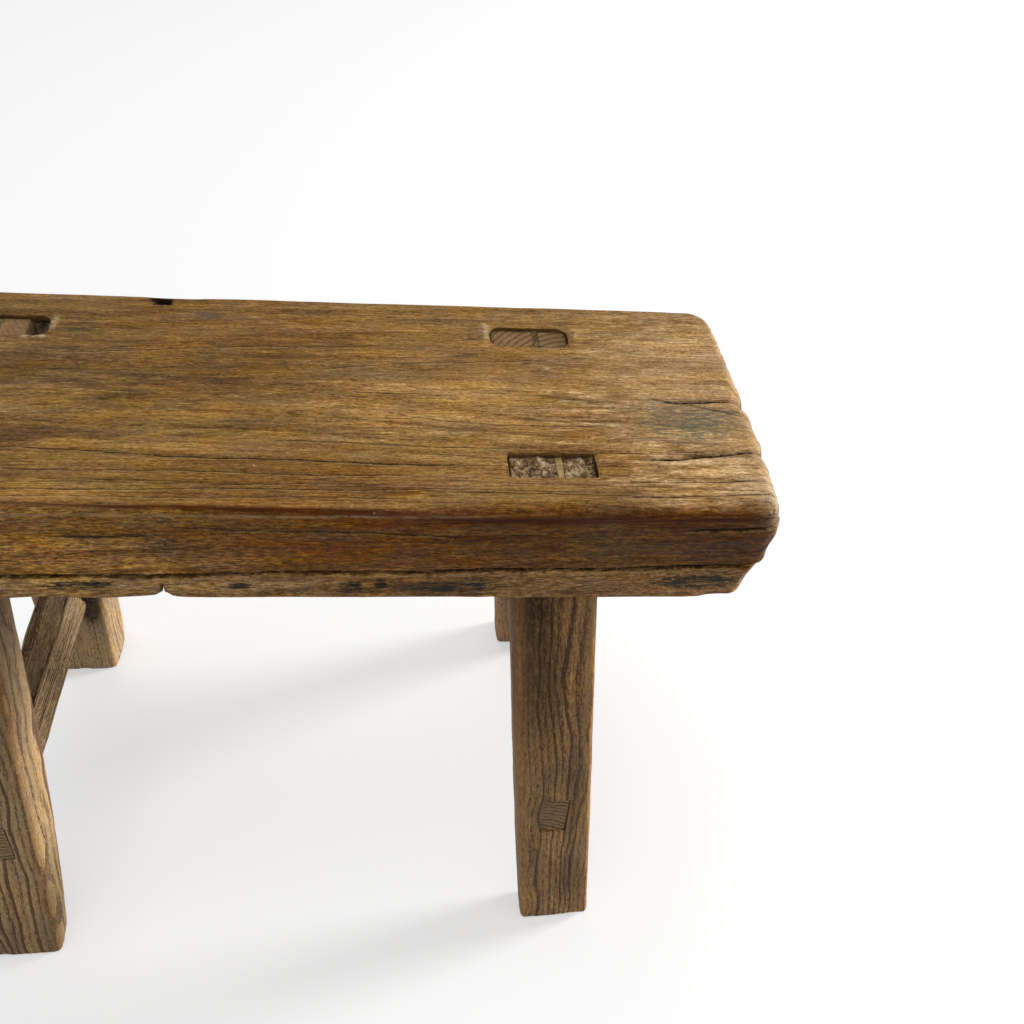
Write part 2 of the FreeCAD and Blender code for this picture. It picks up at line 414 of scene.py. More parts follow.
@dataclass(frozen=True)
class Bite:
    """A piece broken out of the seat's edge: a block that tapers from foot to head, in millimetres."""

    foot: tuple[float, float, float]
    foot_half: tuple[float, float]
    head: tuple[float, float, float]
    head_half: tuple[float, float]
    margin: float = 0.3

    def at(self, share: Points) -> tuple[Points, Points]:
        """Cuts across the block.

        Args:
            share: How far from foot to head, as one column.

        Returns:
            Middle of the block there, and its half sizes in plan.
        """
        middle = np.array(self.foot) * (1 - share) + np.array(self.head) * share
        half = np.array(self.foot_half) * (1 - share) + np.array(self.head_half) * share
        return middle, half

    def cutter(self, name: str) -> bpy.types.Object:
        """Makes the block.

        Args:
            name: Name of the object.

        Returns:
            The object.
        """
        lattice, faces = lattice_box((2, 2, 2))
        points, half = self.at(lattice[:, 2:])
        points[:, :2] += (2 * lattice[:, :2] - 1) * half
        return make_object(name, points, faces)

    def holds(self, points: Points) -> Points:
        """Finds what lies in the block.

        Args:
            points: Places, one row each.

        Returns:
            1 for each place in the block and 0 for the others.
        """
        share = (points[:, 2:] - self.foot[2]) / (self.head[2] - self.foot[2])
        middle, half = self.at(np.clip(share, 0, 1))
        level = (share[:, 0] > 0) & (share[:, 0] < 1)
        near = np.abs(points[:, :2] - middle[:, :2]) < half + self.margin
        return (level & np.all(near, axis=1)).astype(float)


def points_of(mesh: bpy.types.Mesh) -> Points:
    """Vertices of a mesh in millimetres.

    Args:
        mesh: The mesh.

    Returns:
        One row for each vertex.
    """
    flat = np.zeros(len(mesh.vertices) * 3)
    mesh.vertices.foreach_get("co", flat)
    return flat.reshape(-1, 3) / MM


def normals_of(mesh: bpy.types.Mesh) -> Points:
    """Vertex normals of a mesh.

    Args:
        mesh: The mesh.

    Returns:
        One row for each vertex.
    """
    flat = np.zeros(len(mesh.vertices) * 3, np.float32)
    mesh.vertex_normals.foreach_get("vector", flat)
    return flat.reshape(-1, 3).astype(float)


def move_points(mesh: bpy.types.Mesh, points: Points) -> None:
    """Puts the vertices of a mesh at new places in millimetres."""
    mesh.vertices.foreach_set("co", (points * MM).ravel())
    mesh.update()


def paint(mesh: bpy.types.Mesh, name: str, values: Points) -> None:
    """Stores a layer.

    Args:
        mesh: The mesh.
        name: Name of the layer.
        values: One number or one vector for each vertex.
    """
    vector = values.ndim == 2
    layer = mesh.attributes.new(name, "FLOAT_VECTOR" if vector else "FLOAT", "POINT")
    layer.data.foreach_set("vector" if vector else "value", values.astype(np.float32).ravel())


def paint_wood(mesh: bpy.types.Mesh, grain: Points, **wear: Points) -> None:
    """Paints the layers that every finish reads.

    Args:
        mesh: The mesh.
        grain: Place of each vertex in the wood.
        wear: Wear layers by name. Those that aren't given are nought.
    """
    paint(mesh, "grain", grain)
    for name in WEAR_LAYERS:
        paint(mesh, name, wear.get(name, np.zeros(len(grain))))


def cut_out(piece: bpy.types.Object, cutters: Sequence[bpy.types.Object]) -> None:
    """Cuts other objects out of a piece and deletes them.

    Args:
        piece: The object that is cut.
        cutters: Closed objects to take away.
    """
    for cutter in cutters:
        modifier = piece.modifiers.new(cutter.name, "BOOLEAN")
        modifier.operation = "DIFFERENCE"
        modifier.solver = "EXACT"
        modifier.object = cutter
    graph = bpy.context.evaluated_depsgraph_get()
    mesh = bpy.data.meshes.new_from_object(piece.evaluated_get(graph))
    piece.modifiers.clear()
    piece.data = mesh
    for cutter in cutters:
        bpy.data.objects.remove(cutter)


def finish_piece(piece: bpy.types.Object, material: bpy.types.Material, node: str) -> None:
    """Shades a finished piece, puts it in place of its solid and reports it.

    Args:
        piece: The finished object.
        material: Its material.
        node: Name of the solid that it stands for.
    """
    piece.data.materials.clear()
    piece.data.materials.append(material)
    piece.data.shade_smooth()
    piece.data.set_sharp_from_angle(angle=math.radians(SHARP_DEGREES))
    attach(piece, BODY)
    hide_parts(node)
    LOG.info("%s: %d faces for %s", piece.name, len(piece.data.polygons), node)


@dataclass(frozen=True)
class Mottle:
    """Noise in the wood, drawn out along the grain and cut between a low and a high level.

    Along and across are waves per millimetre.
    """

    along: float
    across: float
    detail: float
    roughness: float
    low: float = 0.28
    high: float = 0.72
    distortion: float = 0.0


STREAK = Mottle(0.008, 0.4, 5.0, 0.65)
FIBRE = Mottle(0.06, 1.4, 4.0, 0.65)
HAIR = Mottle(0.25, 2.2, 2.0, 0.65)
GRIT = Mottle(0.8, 2.0, 3.0, 0.65)
STRAND_SIZES = {STREAK: 0.18, FIBRE: 0.3, HAIR: 0.46, GRIT: 0.5}
PORE = Mottle(0.3, 3.4, 1.0, 0.5, 0.62, 0.69)
LINE_GATE = Mottle(0.016, 0.25, 4.0, 0.62, 0.5, 0.58)
FISSURE = Mottle(0.025, 0.45, 2.0, 0.5)
FISSURE_GATE = Mottle(0.05, 0.35, 4.0, 0.65, 0.55, 0.63)
BROAD = Mottle(0.014, 0.035, 4.0, 0.55, 0.3, 0.7, 0.6)
CLOUD = Mottle(0.05, 0.16, 5.0, 0.65)
BAND = Mottle(0.007, 0.1, 3.0, 0.5, 0.32, 0.68)
HUE_DRIFT = Mottle(0.02, 0.22, 4.0, 0.6, 0.3, 0.7)
CRUMB = Mottle(0.6, 0.5, 6.0, 0.85)
SPECK = Mottle(0.35, 0.6, 3.0, 0.7)
KNOCK = Mottle(0.5, 0.9, 1.0, 0.4, 0.78, 0.82)
TEAR = Mottle(0.7, 1.5, 4.0, 0.75, 0.42, 0.53)
FADE_EDGE = Mottle(0.09, 0.5, 6.0, 0.7)
STAIN_EDGE = Mottle(0.4, 0.95, 6.0, 0.85)
CRACK_BREAK = Mottle(0.35, 0.9, 4.0, 0.7)
WISP = Mottle(0.22, 1.3, 5.0, 0.8, 0.4, 0.52)
CRUMBLE = Mottle(0.4, 1.4, 5.0, 0.8, 0.37, 0.63)
RIDGE_STREAK = Mottle(0.04, 1.4, 5.0, 0.7, 0.34, 0.54)

# Where a ring's late wood, its dark line and its arc on end grain rise and fall, as shares of the ring
LATE_WOOD = (0.3, 0.84, 0.9, 1.0)
RING_LINE = (0.88, 0.95, 0.97, 1.0)
END_ARC = (0.45, 0.9, 0.93, 1.0)

DEEP_SHADOW = (0.024, 0.010, 0.003, 1.0)
FRESH_WOOD = (0.62, 0.48, 0.32, 1.0)
GLINT = Tint(244, 222, 178).linear()


class Wire:
    """An output socket that takes part in plain arithmetic, with one Math node for each step."""

    def __init__(self, graph: "Graph", socket: bpy.types.NodeSocket) -> None:
        """Wraps one output socket of a graph."""
        self.graph = graph
        self.socket = socket

    def __add__(self, other: Number) -> "Wire":
        """Sum."""
        return self.graph.math("ADD", self, other)

    def __sub__(self, other: Number) -> "Wire":
        """Difference."""
        return self.graph.math("SUBTRACT", self, other)

    def __rsub__(self, other: float) -> "Wire":
        """Difference from a plain number."""
        return self.graph.math("SUBTRACT", other, self)

    def __mul__(self, other: Number) -> "Wire":
        """Product."""
        return self.graph.math("MULTIPLY", self, other)

    def __truediv__(self, other: Number) -> "Wire":
        """Quotient."""
        return self.graph.math("DIVIDE", self, other)

    def __abs__(self) -> "Wire":
        """Size without its sign."""
        return self.graph.math("ABSOLUTE", self)

    def larger(self, other: "Wire") -> "Wire":
        """The larger of two."""
        return self.graph.math("MAXIMUM", self, other)

    def clamped(self) -> "Wire":
        """The same result, held between 0 and 1."""
        self.socket.node.use_clamp = True
        return self

    def ramp(self, low: Number, high: float, start: float = 0.0, end: float = 1.0) -> "Wire":
        """Smooth step from start at low to end at high."""
        inputs = dict(enumerate((self, low, high, start, end)))
        return self.graph.run("ShaderNodeMapRange", inputs, interpolation_type="SMOOTHSTEP")

    def hump(self, rise: float, full: float, fall: float, gone: float) -> "Wire":
        """Smooth hump: up from rise to full, and down again from fall to gone."""
        return self.ramp(rise, full) * self.ramp(fall, gone, 1.0, 0.0)


class Graph:
    """Short hand for adding and wiring shader nodes in one tree."""

    def __init__(self, tree: bpy.types.NodeTree) -> None:
        """Works on one node tree."""
        self.tree = tree

    def add(self, kind: str, **settings: object) -> bpy.types.Node:
        """Adds a node.

        Args:
            kind: Kind of node.
            settings: Its settings.

        Returns:
            The node.
        """
        node = self.tree.nodes.new(kind)
        for name, setting in settings.items():
            setattr(node, name, setting)
        return node

    def wire(self, socket: bpy.types.NodeSocket, value: Value) -> None:
        """Feeds a socket.

        Args:
            socket: The input.
            value: Wire to link it to, or what to set it to.
        """
        if isinstance(value, Wire):
            self.tree.links.new(value.socket, socket)
        else:
            socket.default_value = value

    def run(self, kind: str, inputs: Inputs, output: Union[int, str] = 0, **settings: object) -> Wire:
        """Adds a node and feeds its inputs.

        Args:
            kind: Kind of node.
            inputs: Wire or value of each input, by name or number.
            output: Name or number of the output that is wanted.
            settings: Settings of the node.

        Returns:
            That output.
        """
        node = self.add(kind, **settings)
        for key, value in inputs.items():
            self.wire(node.inputs[key], value)
        return Wire(self, node.outputs[output])

    def math(self, operation: str, *values: Number) -> Wire:
        """Result of a Math node."""
        return self.run("ShaderNodeMath", dict(enumerate(values)), operation=operation)

    def mix(self, factor: Value, first: Value, second: Value, blend: str = "MIX") -> Wire:
        """Blend of two colours."""
        inputs = {0: factor, 6: first, 7: second}
        return self.run("ShaderNodeMix", inputs, 2, data_type="RGBA", blend_type=blend)

    def noise(self, place: Wire, mottle: Mottle) -> Wire:
        """Adds the uncut noise of a mottle.

        Args:
            place: Place in the wood.
            mottle: How the noise runs.

        Returns:
            Noise from 0 to 1.
        """
        scale = (mottle.along, mottle.across, mottle.across)
        drawn = self.run("ShaderNodeVectorMath", {0: place, 1: scale}, operation="MULTIPLY")
        return self.run("ShaderNodeTexNoise", {
            "Vector": drawn, "Scale": 1.0, "Detail": mottle.detail, "Roughness": mottle.roughness,
            "Distortion": mottle.distortion})

    def mottle(self, place: Wire, mottle: Mottle, start: float = 0.0, end: float = 1.0) -> Wire:
        """Noise from start at the mottle's low level to end at its high level."""
        return self.noise(place, mottle).ramp(mottle.low, mottle.high, start, end)

    def layer(self, name: str, output: str = "Fac") -> Wire:
        """A painted layer of the mesh."""
        return self.run("ShaderNodeAttribute", {}, output, attribute_name=name)

    def use(self, group: bpy.types.NodeTree, inputs: Inputs) -> dict[str, Wire]:
        """Places a shader group.

        Args:
            group: The group.
            inputs: Wire or value of each input, by name.

        Returns:
            Its outputs by name.
        """
        node = self.add("ShaderNodeGroup", node_tree=group)
        for name, value in inputs.items():
            self.wire(node.inputs[name], value)
        return {socket.name: Wire(self, socket) for socket in node.outputs}


class ShaderGroup(Graph):
    """A shader node group with named inputs and outputs."""

    def __init__(self, name: str, inputs: dict[Kind, Sequence[str]]) -> None:
        """Makes the group with its inputs.

        Args:
            name: Name of the group.
            inputs: Names of its inputs, by kind.
        """
        super().__init__(bpy.data.node_groups.new(name, "ShaderNodeTree"))
        for kind, labels in inputs.items():
            for label in labels:
                self.tree.interface.new_socket(label, in_out="INPUT", socket_type=kind.value)
        source = self.add("NodeGroupInput")
        self.given = {socket.name: Wire(self, socket) for socket in source.outputs if socket.name}

    def give(self, results: dict[str, Wire]) -> bpy.types.NodeTree:
        """Adds an output for each result.

        Args:
            results: Colour or value of each output.

        Returns:
            The finished group.
        """
        for label, wire in results.items():
            kind = Kind.COLOUR if wire.socket.type == "RGBA" else Kind.VALUE
            self.tree.interface.new_socket(label, in_out="OUTPUT", socket_type=kind.value)
        sink = self.add("NodeGroupOutput")
        for label, wire in results.items():
            self.wire(sink.inputs[label], wire)
        return self.tree


class GroupMaker:
    """Builds the shader groups that the finishes share."""

    def __init__(self) -> None:
        """Builds every group once."""
        self.figure = self.timber_figure()
        self.age = self.age_and_wear()
        self.crack = self.crack_line()
        self.patch = self.ragged_patch()

    @staticmethod
    def timber_figure() -> bpy.types.NodeTree:
        """Growth rings, fibre streaks, pores and fine fissures of bare timber.

        Returns:
            The group.
        """
        group = ShaderGroup("timber_figure", {
            Kind.VECTOR: ("Grain",),
            Kind.COLOUR: ("Pale", "Middle", "Dark"),
            Kind.VALUE: ("Ring", "Ring strength", "Fibre strength", "Pore strength", "Line strength")})
        given = group.given
        grain = given["Grain"]
        part = group.math("FRACT", given["Ring"])
        whole = group.math("FLOOR", given["Ring"])
        pick = group.run("ShaderNodeTexWhiteNoise", {"W": whole}, "Value", noise_dimensions="1D")
        late = part.hump(*LATE_WOOD) * pick.ramp(0.0, 1.0, 0.4, 1.0)
        ring_line = part.hump(*RING_LINE) * group.mottle(grain, LINE_GATE)
        flow = abs(group.noise(grain, FISSURE) - 0.5)
        fissure = flow.ramp(0.012, 0.05, 1.0, 0.0) * group.mottle(grain, FISSURE_GATE)
        waves = [group.mottle(grain, strand, -size, size) for strand, size in STRAND_SIZES.items()]
        strands = sum(waves[1:], waves[0])
        pores = group.mottle(grain, PORE) * part.ramp(0.75, 0.1, 0.35, 1.0)
        tone = strands * given["Fibre strength"] + 0.56 - late * given["Ring strength"]
        colour = group.mix(tone.ramp(0.0, 0.5), given["Dark"], given["Middle"])
        colour = group.mix(tone.ramp(0.5, 1.0), colour, given["Pale"])
        lines = ring_line.larger(fissure) * given["Line strength"]
        depth = (pores * given["Pore strength"]).larger(lines)
        colour = group.mix(depth, colour, group.mix(0.6, given["Dark"], DEEP_SHADOW))
        height = late * 0.5 + strands * 0.5 - depth * 0.9
        return group.give({"Colour": colour, "Height": height})

    @staticmethod
    def age_and_wear() -> bpy.types.NodeTree:
        """Blotches, end grain with painted glints on its crumbs, soiling and painted shade in the low
        places, rubbed high places, pale knocks and torn places.

        Returns:
            The group.
        """
        group = ShaderGroup("age_and_wear", {
            Kind.VECTOR: ("Grain",),
            Kind.COLOUR: ("Colour", "Grime colour", "Rubbed colour", "End colour"),
            Kind.VALUE: [name.capitalize() for name in WEAR_LAYERS] + ["Blotch strength", "Base roughness"]})
        given = group.given
        grain = given["Grain"]
        cloud = group.mottle(grain, CLOUD, -1.0, 1.0)
        blotch = group.mottle(grain, BROAD, -1.0, 1.0) * 0.45 + cloud * 0.5
        blotch = blotch + group.mottle(grain, BAND, -1.0, 1.0) * 0.55
        colour = group.run("ShaderNodeHueSaturation", {
            "Color": given["Colour"],
            "Value": blotch * given["Blotch strength"] + 1.0,
            "Saturation": cloud * 0.06 + 1.0,
            "Hue": group.mottle(grain, HUE_DRIFT, 0.496, 0.506)})
        crumb = group.noise(grain, CRUMB)
        arc = group.math("FRACT", given["Ring"]).hump(*END_ARC) * crumb.ramp(0.36, 0.56, 0.35, 0.75)
        section = group.mix(arc, given["End colour"], given["Grime colour"])
        colour = group.mix(given["End"] * 0.8, colour, section)
        crumbs = group.mix(crumb.ramp(0.42, 0.52), given["Grime colour"], given["End colour"])
        crumbs = group.mix(crumb.ramp(0.53, 0.565), crumbs, GLINT)
        colour = group.mix(given["Crumb"] * 0.9, colour, crumbs)
        speck = group.noise(grain, SPECK)
        # Soiling and painted shade from the grime layer, broken up by specks.
        dirt_and_shade = (given["Grime"] * speck.ramp(0.2, 0.6, 0.55, 1.0)).clamped()
        colour = group.mix(dirt_and_shade, colour, given["Grime colour"])
        rub = (given["Rub"] * speck.ramp(0.35, 0.62, 0.25, 1.0)).clamped()
        colour = group.mix(rub, colour, given["Rubbed colour"])
        pale = group.mix(0.55, given["Rubbed colour"], FRESH_WOOD)
        colour = group.mix(group.mottle(grain, KNOCK) * 0.55, colour, pale)
        torn = (given["Fresh"] * group.mottle(grain, TEAR, 0.0, 1.3)).clamped()
        colour = group.mix(torn, colour, pale)
        rough = (cloud * 0.07 + given["Base roughness"] + dirt_and_shade * 0.2 - rub * 0.12).clamped()
        relief = (speck - 0.5) * 0.6 + (crumb - 0.5) * (given["Crumb"] * 5.0)
        return group.give({"Colour": colour, "Roughness": rough, "Height": relief})

    @staticmethod
    def crack_line() -> bpy.types.NodeTree:
        """One bowed, slightly wandering, broken dark line along the grain, with a painted highlight below it
        as a pale lip.

        Returns:
            The group.
        """
        group = ShaderGroup("crack_line", {Kind.VALUE: (
            "Along", "Across", "Start", "End", "Level start", "Level end", "Bow", "Width", "Ragged")})
        given = group.given
        along, ragged, width = given["Along"], given["Ragged"], given["Width"]
        share = (along - given["Start"]) / (given["End"] - given["Start"])
        level = given["Level start"] + (given["Level end"] - given["Level start"]) * share
        level = level + share * (1.0 - share) * 4.0 * given["Bow"]
        for (rate, size), phase in zip(WANDER, ("Level start", "Level end")):
            level = level + group.math("SINE", along * rate + given[phase]) * size
        off = given["Across"] - level
        ends = share.hump(0.0, 0.06, 0.92, 1.0)
        broken = width * ragged.ramp(0.36, 0.62, 0.2, 1.35)
        line = (abs(off) / broken).ramp(0.45, 1.5, 1.0, 0.0)
        # Painted highlight: a pale lip just below the crack.
        below = abs(off + width * 2.4) / width
        lip = below.ramp(0.5, 1.6, 1.0, 0.0) * ragged.ramp(0.62, 0.4, 0.0, 1.0)
        return group.give({"Mask": line * ends, "Highlight_lip": lip * ends})

    @staticmethod
    def ragged_patch() -> bpy.types.NodeTree:
        """Oval with a ragged edge.

        Returns:
            The group.
        """
        group = ShaderGroup("ragged_patch", {Kind.VALUE: (
            "Along", "Across", "Middle along", "Middle across", "Half length", "Half width", "Ragged",
            "Softness")})
        given = group.given
        along = (given["Along"] - given["Middle along"]) / given["Half length"]
        across = (given["Across"] - given["Middle across"]) / given["Half width"]
        reach = group.math("SQRT", along * along + across * across) + (given["Ragged"] - 0.5) * 2.8
        return group.give({"Mask": reach.ramp(1.0 - given["Softness"], 1.08, 1.0, 0.0)})


class WoodMaterial:
    """Material of one finish, built from the shared groups."""

    def __init__(self, finish: WoodFinish, groups: GroupMaker) -> None:
        """Builds the finish's bare timber.

        Args:
            finish: Colours and age of the wood.
            groups: The shared shader groups.
        """
        self.finish = finish
        self.groups = groups
        self.material = bpy.data.materials.new(finish.name)
        self.material.use_nodes = True
        self.graph = Graph(self.material.node_tree)
        self.shader = self.material.node_tree.nodes["Principled BSDF"]
        self.grain = self.graph.layer("grain", "Vector")
        timber = self.graph.use(groups.figure, {
            "Grain": self.grain,
            "Ring": self.graph.layer("ring"),
            "Pale": finish.pale.linear(),
            "Middle": finish.middle.linear(),
            "Dark": finish.dark.linear(),
            "Ring strength": finish.ring_strength,
            "Fibre strength": finish.fibre_strength,
            "Pore strength": finish.pore_strength,
            "Line strength": finish.line_strength,
        })
        self.colour = timber["Colour"]
        self.height = timber["Height"]

    def weather(self) -> None:
        """Adds blotches, end grain with painted glints, soiling with painted shade, rubbed edges and torn
        places to the colour so far.
        """
        painted = {name.capitalize(): self.graph.layer(name) for name in WEAR_LAYERS}
        aged = self.graph.use(self.groups.age, painted | {
            "Colour": self.colour,
            "Grain": self.grain,
            "End colour": self.finish.end_grain.linear(),
            "Grime colour": self.finish.grime.linear(),
            "Rubbed colour": self.finish.rubbed.linear(),
            "Blotch strength": self.finish.blotch_strength,
            "Base roughness": self.finish.roughness,
        })
        self.colour = aged["Colour"]
        self.height = self.height + aged["Height"]
        self.graph.wire(self.shader.inputs["Roughness"], aged["Roughness"])

    def close(self) -> bpy.types.Material:
        """Wires colour and relief to the shader.

        Returns:
            The finished material.
        """
        relief = {"Distance": self.finish.relief * MM, "Strength": 1.0, "Height": self.height}
        self.graph.wire(self.shader.inputs["Normal"], self.graph.run("ShaderNodeBump", relief))
        self.graph.wire(self.shader.inputs["Base Color"], self.colour)
        self.shader.inputs["Specular IOR Level"].default_value = self.finish.gloss
        return self.material


class SeatMaterial(WoodMaterial):
    """Seat finish: plain timber plus the stains, faded places, painted shade in a nick and cracks of this
    very board.
    """

    FRONT_TINT = Tint(228, 214, 198)
    RIDGE_TINT = Tint(80, 34, 8)
    # Colour and strength of the painted highlight on the pale lip below each crack.
    HIGHLIGHT_LIP_TINT = Tint(196, 162, 112)
    HIGHLIGHT_LIP_STRENGTH = 0.45

    def mark(self, cracks: Sequence[Crack], patches: Sequence[Patch]) -> None:
        """Lays the front face's darker tone, the patches and the cracks over the timber.

        Args:
            cracks: Lines along the grain.
            patches: Stains and faded places.
        """
        split = self.graph.add("ShaderNodeSeparateXYZ")
        self.graph.wire(split.inputs[0], self.grain)
        along, across, up = [Wire(self.graph, socket) for socket in split.outputs]
        sides = {Face.TOP: (across, self.graph.layer("top")), Face.FRONT: (up, self.graph.layer("front"))}
        self.darken_front(sides[Face.FRONT][1])
        edges = {Blend.FADE: self.graph.noise(self.grain, FADE_EDGE),
                 Blend.STAIN: self.graph.noise(self.grain, STAIN_EDGE)}
        wisps = self.graph.mottle(self.grain, WISP, 0.1, 1.0)
        for patch in patches:
            level, side = sides[patch.face]
            places = {"Along": along, "Across": level, "Ragged": edges[patch.blend]}
            self.lay_patch(patch, places, side * patch.strength, wisps)
        breaks = self.graph.noise(self.grain, CRACK_BREAK)
        for crack in cracks:
            level, side = sides[crack.face]
            self.lay_crack(crack, {"Along": along, "Across": level, "Ragged": breaks}, side)

    def darken_front(self, front: Wire) -> None:
        """Gives the front face its crumbling darker tone and its red ridge.

        Args:
            front: 1 on the front face and 0 elsewhere.
        """
        graph = self.graph
        self.colour = graph.mix(front, self.colour, self.FRONT_TINT.linear(), "MULTIPLY")
        crumble = graph.mottle(self.grain, CRUMBLE, 0.42, 1.65)
        tone = graph.run("ShaderNodeCombineColor", {channel: crumble for channel in range(3)})
        self.colour = graph.mix(front, self.colour, tone, "MULTIPLY")
        ridge = graph.layer("ridge") * graph.mottle(self.grain, RIDGE_STREAK, 0.5, 1.0)
        self.colour = graph.mix(ridge, self.colour, self.RIDGE_TINT.linear())

    def lay_patch(self, patch: Patch, places: Inputs, strength: Wire, wisps: Wire) -> None:
        """Stains or fades one place.

        Args:
            patch: The place.
            places: Place along and across its face, and the noise that frays its edge.
            strength: How strong it is on its face.
            wisps: Streaks that thin a stain.
        """
        spot = self.graph.use(self.groups.patch, places | {
            "Middle along": patch.along, "Middle across": patch.across, "Half length": patch.half_length,
            "Half width": patch.half_width, "Softness": patch.softness})
        share = spot["Mask"] * strength
        tint = patch.tint.over(self.finish.middle)
        if patch.blend is Blend.STAIN:
            share = share * wisps
            tint = patch.tint.linear()
        self.colour = self.graph.mix(share, self.colour, tint, patch.blend.value)

    def lay_crack(self, crack: Crack, places: Inputs, side: Wire) -> None:
        """Draws one crack with its pale lip, a painted highlight.

        Args:
            crack: The crack.
            places: Place along and across its face, and the noise that breaks its line.
            side: 1 on its face and 0 elsewhere.
        """
        line = self.graph.use(self.groups.crack, places | {
            "Start": crack.start, "End": crack.end, "Level start": crack.level_start,
            "Level end": crack.level_end, "Bow": crack.bow, "Width": crack.width})
        # Painted highlight on the lip below the crack.
        lip = line["Highlight_lip"] * side * self.HIGHLIGHT_LIP_STRENGTH
        self.colour = self.graph.mix(lip, self.colour, self.HIGHLIGHT_LIP_TINT.linear())
        share = line["Mask"] * side * crack.darkness
        self.colour = self.graph.mix(share, self.colour, self.finish.grime.linear())
        self.height = self.height - share


SEAT_FINISH = WoodFinish(
    "seat_old_elm", pale=Tint(195, 153, 91), middle=Tint(154, 113, 59), dark=Tint(93, 61, 23),
    grime=Tint(34, 22, 12), rubbed=Tint(190, 154, 106), end_grain=Tint(146, 112, 70),
    ring_strength=0.22, fibre_strength=0.48, pore_strength=0.5, line_strength=0.5, blotch_strength=0.28,
    roughness=0.52, relief=0.3, gloss=0.1)
LEG_FINISH = WoodFinish(
    "leg_old_elm", pale=Tint(216, 182, 134), middle=Tint(187, 152, 107), dark=Tint(96, 68, 42),
    grime=Tint(44, 32, 21), rubbed=Tint(156, 110, 60), end_grain=Tint(152, 130, 98),
    ring_strength=0.85, fibre_strength=0.46, pore_strength=0.45, line_strength=0.2, blotch_strength=0.3,
    roughness=0.64, relief=0.25)
# Its near-black grime colour deepens the painted shade on this leg, chiefly where the rail meets it.
BLEACHED_LEG_FINISH = replace(
    LEG_FINISH, name="leg_bleached_elm", pale=Tint(232, 200, 152), middle=Tint(208, 172, 126),
    grime=Tint(18, 12, 8), ring_strength=0.36)
BROWN_LEG_FINISH = WoodFinish(
    "leg_stained_elm", pale=Tint(210, 166, 112), middle=Tint(170, 130, 84), dark=Tint(82, 54, 30),
    grime=Tint(48, 30, 14), rubbed=Tint(198, 146, 88), end_grain=Tint(182, 142, 92),
    ring_strength=0.65, fibre_strength=0.55, pore_strength=0.5, line_strength=0.3, blotch_strength=0.5,
    roughness=0.62, relief=0.25)
STRETCHER_FINISH = WoodFinish(
    "stretcher_old_elm", pale=Tint(216, 185, 145), middle=Tint(185, 153, 113), dark=Tint(84, 60, 38),
    grime=Tint(44, 32, 21), rubbed=Tint(204, 174, 134), end_grain=Tint(206, 168, 118),
    ring_strength=0.75, fibre_strength=0.46, pore_strength=0.5, line_strength=0.5, blotch_strength=0.22,
    roughness=0.68, relief=0.3)
WEDGE_FINISH = WoodFinish(
    "wedge_pale_wood", pale=Tint(204, 180, 118), middle=Tint(178, 150, 92), dark=Tint(116, 90, 52),
    grime=Tint(48, 36, 22), rubbed=Tint(210, 184, 130), end_grain=Tint(196, 172, 112),
    ring_strength=0.3, fibre_strength=0.4, pore_strength=0.4, line_strength=0.3, blotch_strength=0.15,
    roughness=0.66, relief=0.2)


@dataclass
class LegLine:
    """Centre line of one leg and how deep its foot is, read from its solid, in millimetres."""

    OUTER_FOOT = 7.0
    FOOT_INSET = 1.4

    foot: Points
    top: Points
    inner_foot: float

    @classmethod
    def of(cls, name: str) -> "LegLine":
        """Reads a leg's tenon end and foot.

        Args:
            name: Which leg, such as front_left.

        Returns:
            Its centre line.
        """
        points = points_of(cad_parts["leg_" + name].data)
        foot, top = [points[np.abs(points[:, 2] - level) < 0.05] for level in (0.0, points[:, 2].max())]
        outward = math.copysign(1.0, foot[0, 1])
        reach = foot[:, 1] * outward
        middle = (foot.min(0) + foot.max(0)) / 2
        middle[1] = outward * (reach.max() - cls.OUTER_FOOT + cls.FOOT_INSET)
        inner = reach.max() - reach.min() - cls.OUTER_FOOT + 2 * cls.FOOT_INSET
        return cls(middle, (top.min(0) + top.max(0)) / 2, float(inner))

    def at(self, height: Points) -> tuple[Points, Points]:
        """Follows the line.

        Args:
            height: Heights above the floor.

        Returns:
            X and Y of the line at each height.
        """
        share = (height - self.foot[2]) / (self.top[2] - self.foot[2])
        x = self.foot[0] + (self.top[0] - self.foot[0]) * share
        y = self.foot[1] + (self.top[1] - self.foot[1]) * share
        return x, y

    def outward(self) -> float:
        """1 for a rear leg and -1 for a front leg."""
        return math.copysign(1.0, self.foot[1])


@dataclass
class Bar:
    """A bar with rounded long edges, as rings of one lattice along its length.

    Each ring has its place along the bar, its two half sizes and its corner radius.
    """

    along: Points
    half_a: Points
    half_b: Points
    radius: Points
    count_a: int
    count_b: int

    def build(self) -> tuple[Points, Points, Points]:
        """Works out the bar.

        Returns:
            Places as (a, b, along), ring number of each vertex, and the faces.
        """
        lattice, faces = lattice_box((self.count_a, self.count_b, len(self.along)))
        ring = lattice[:, 2]
        half_a = self.half_a[ring]
        half_b = self.half_b[ring]
        a = half_a * (2 * lattice[:, 0] / (self.count_a - 1) - 1)
        b = half_b * (2 * lattice[:, 1] / (self.count_b - 1) - 1)
        radius = np.minimum(self.radius[ring], np.minimum(half_a, half_b) * 0.95)
        a, b = round_corners(a, b, half_a, half_b, radius)
        return np.stack([a, b, self.along[ring]], axis=1), ring, faces


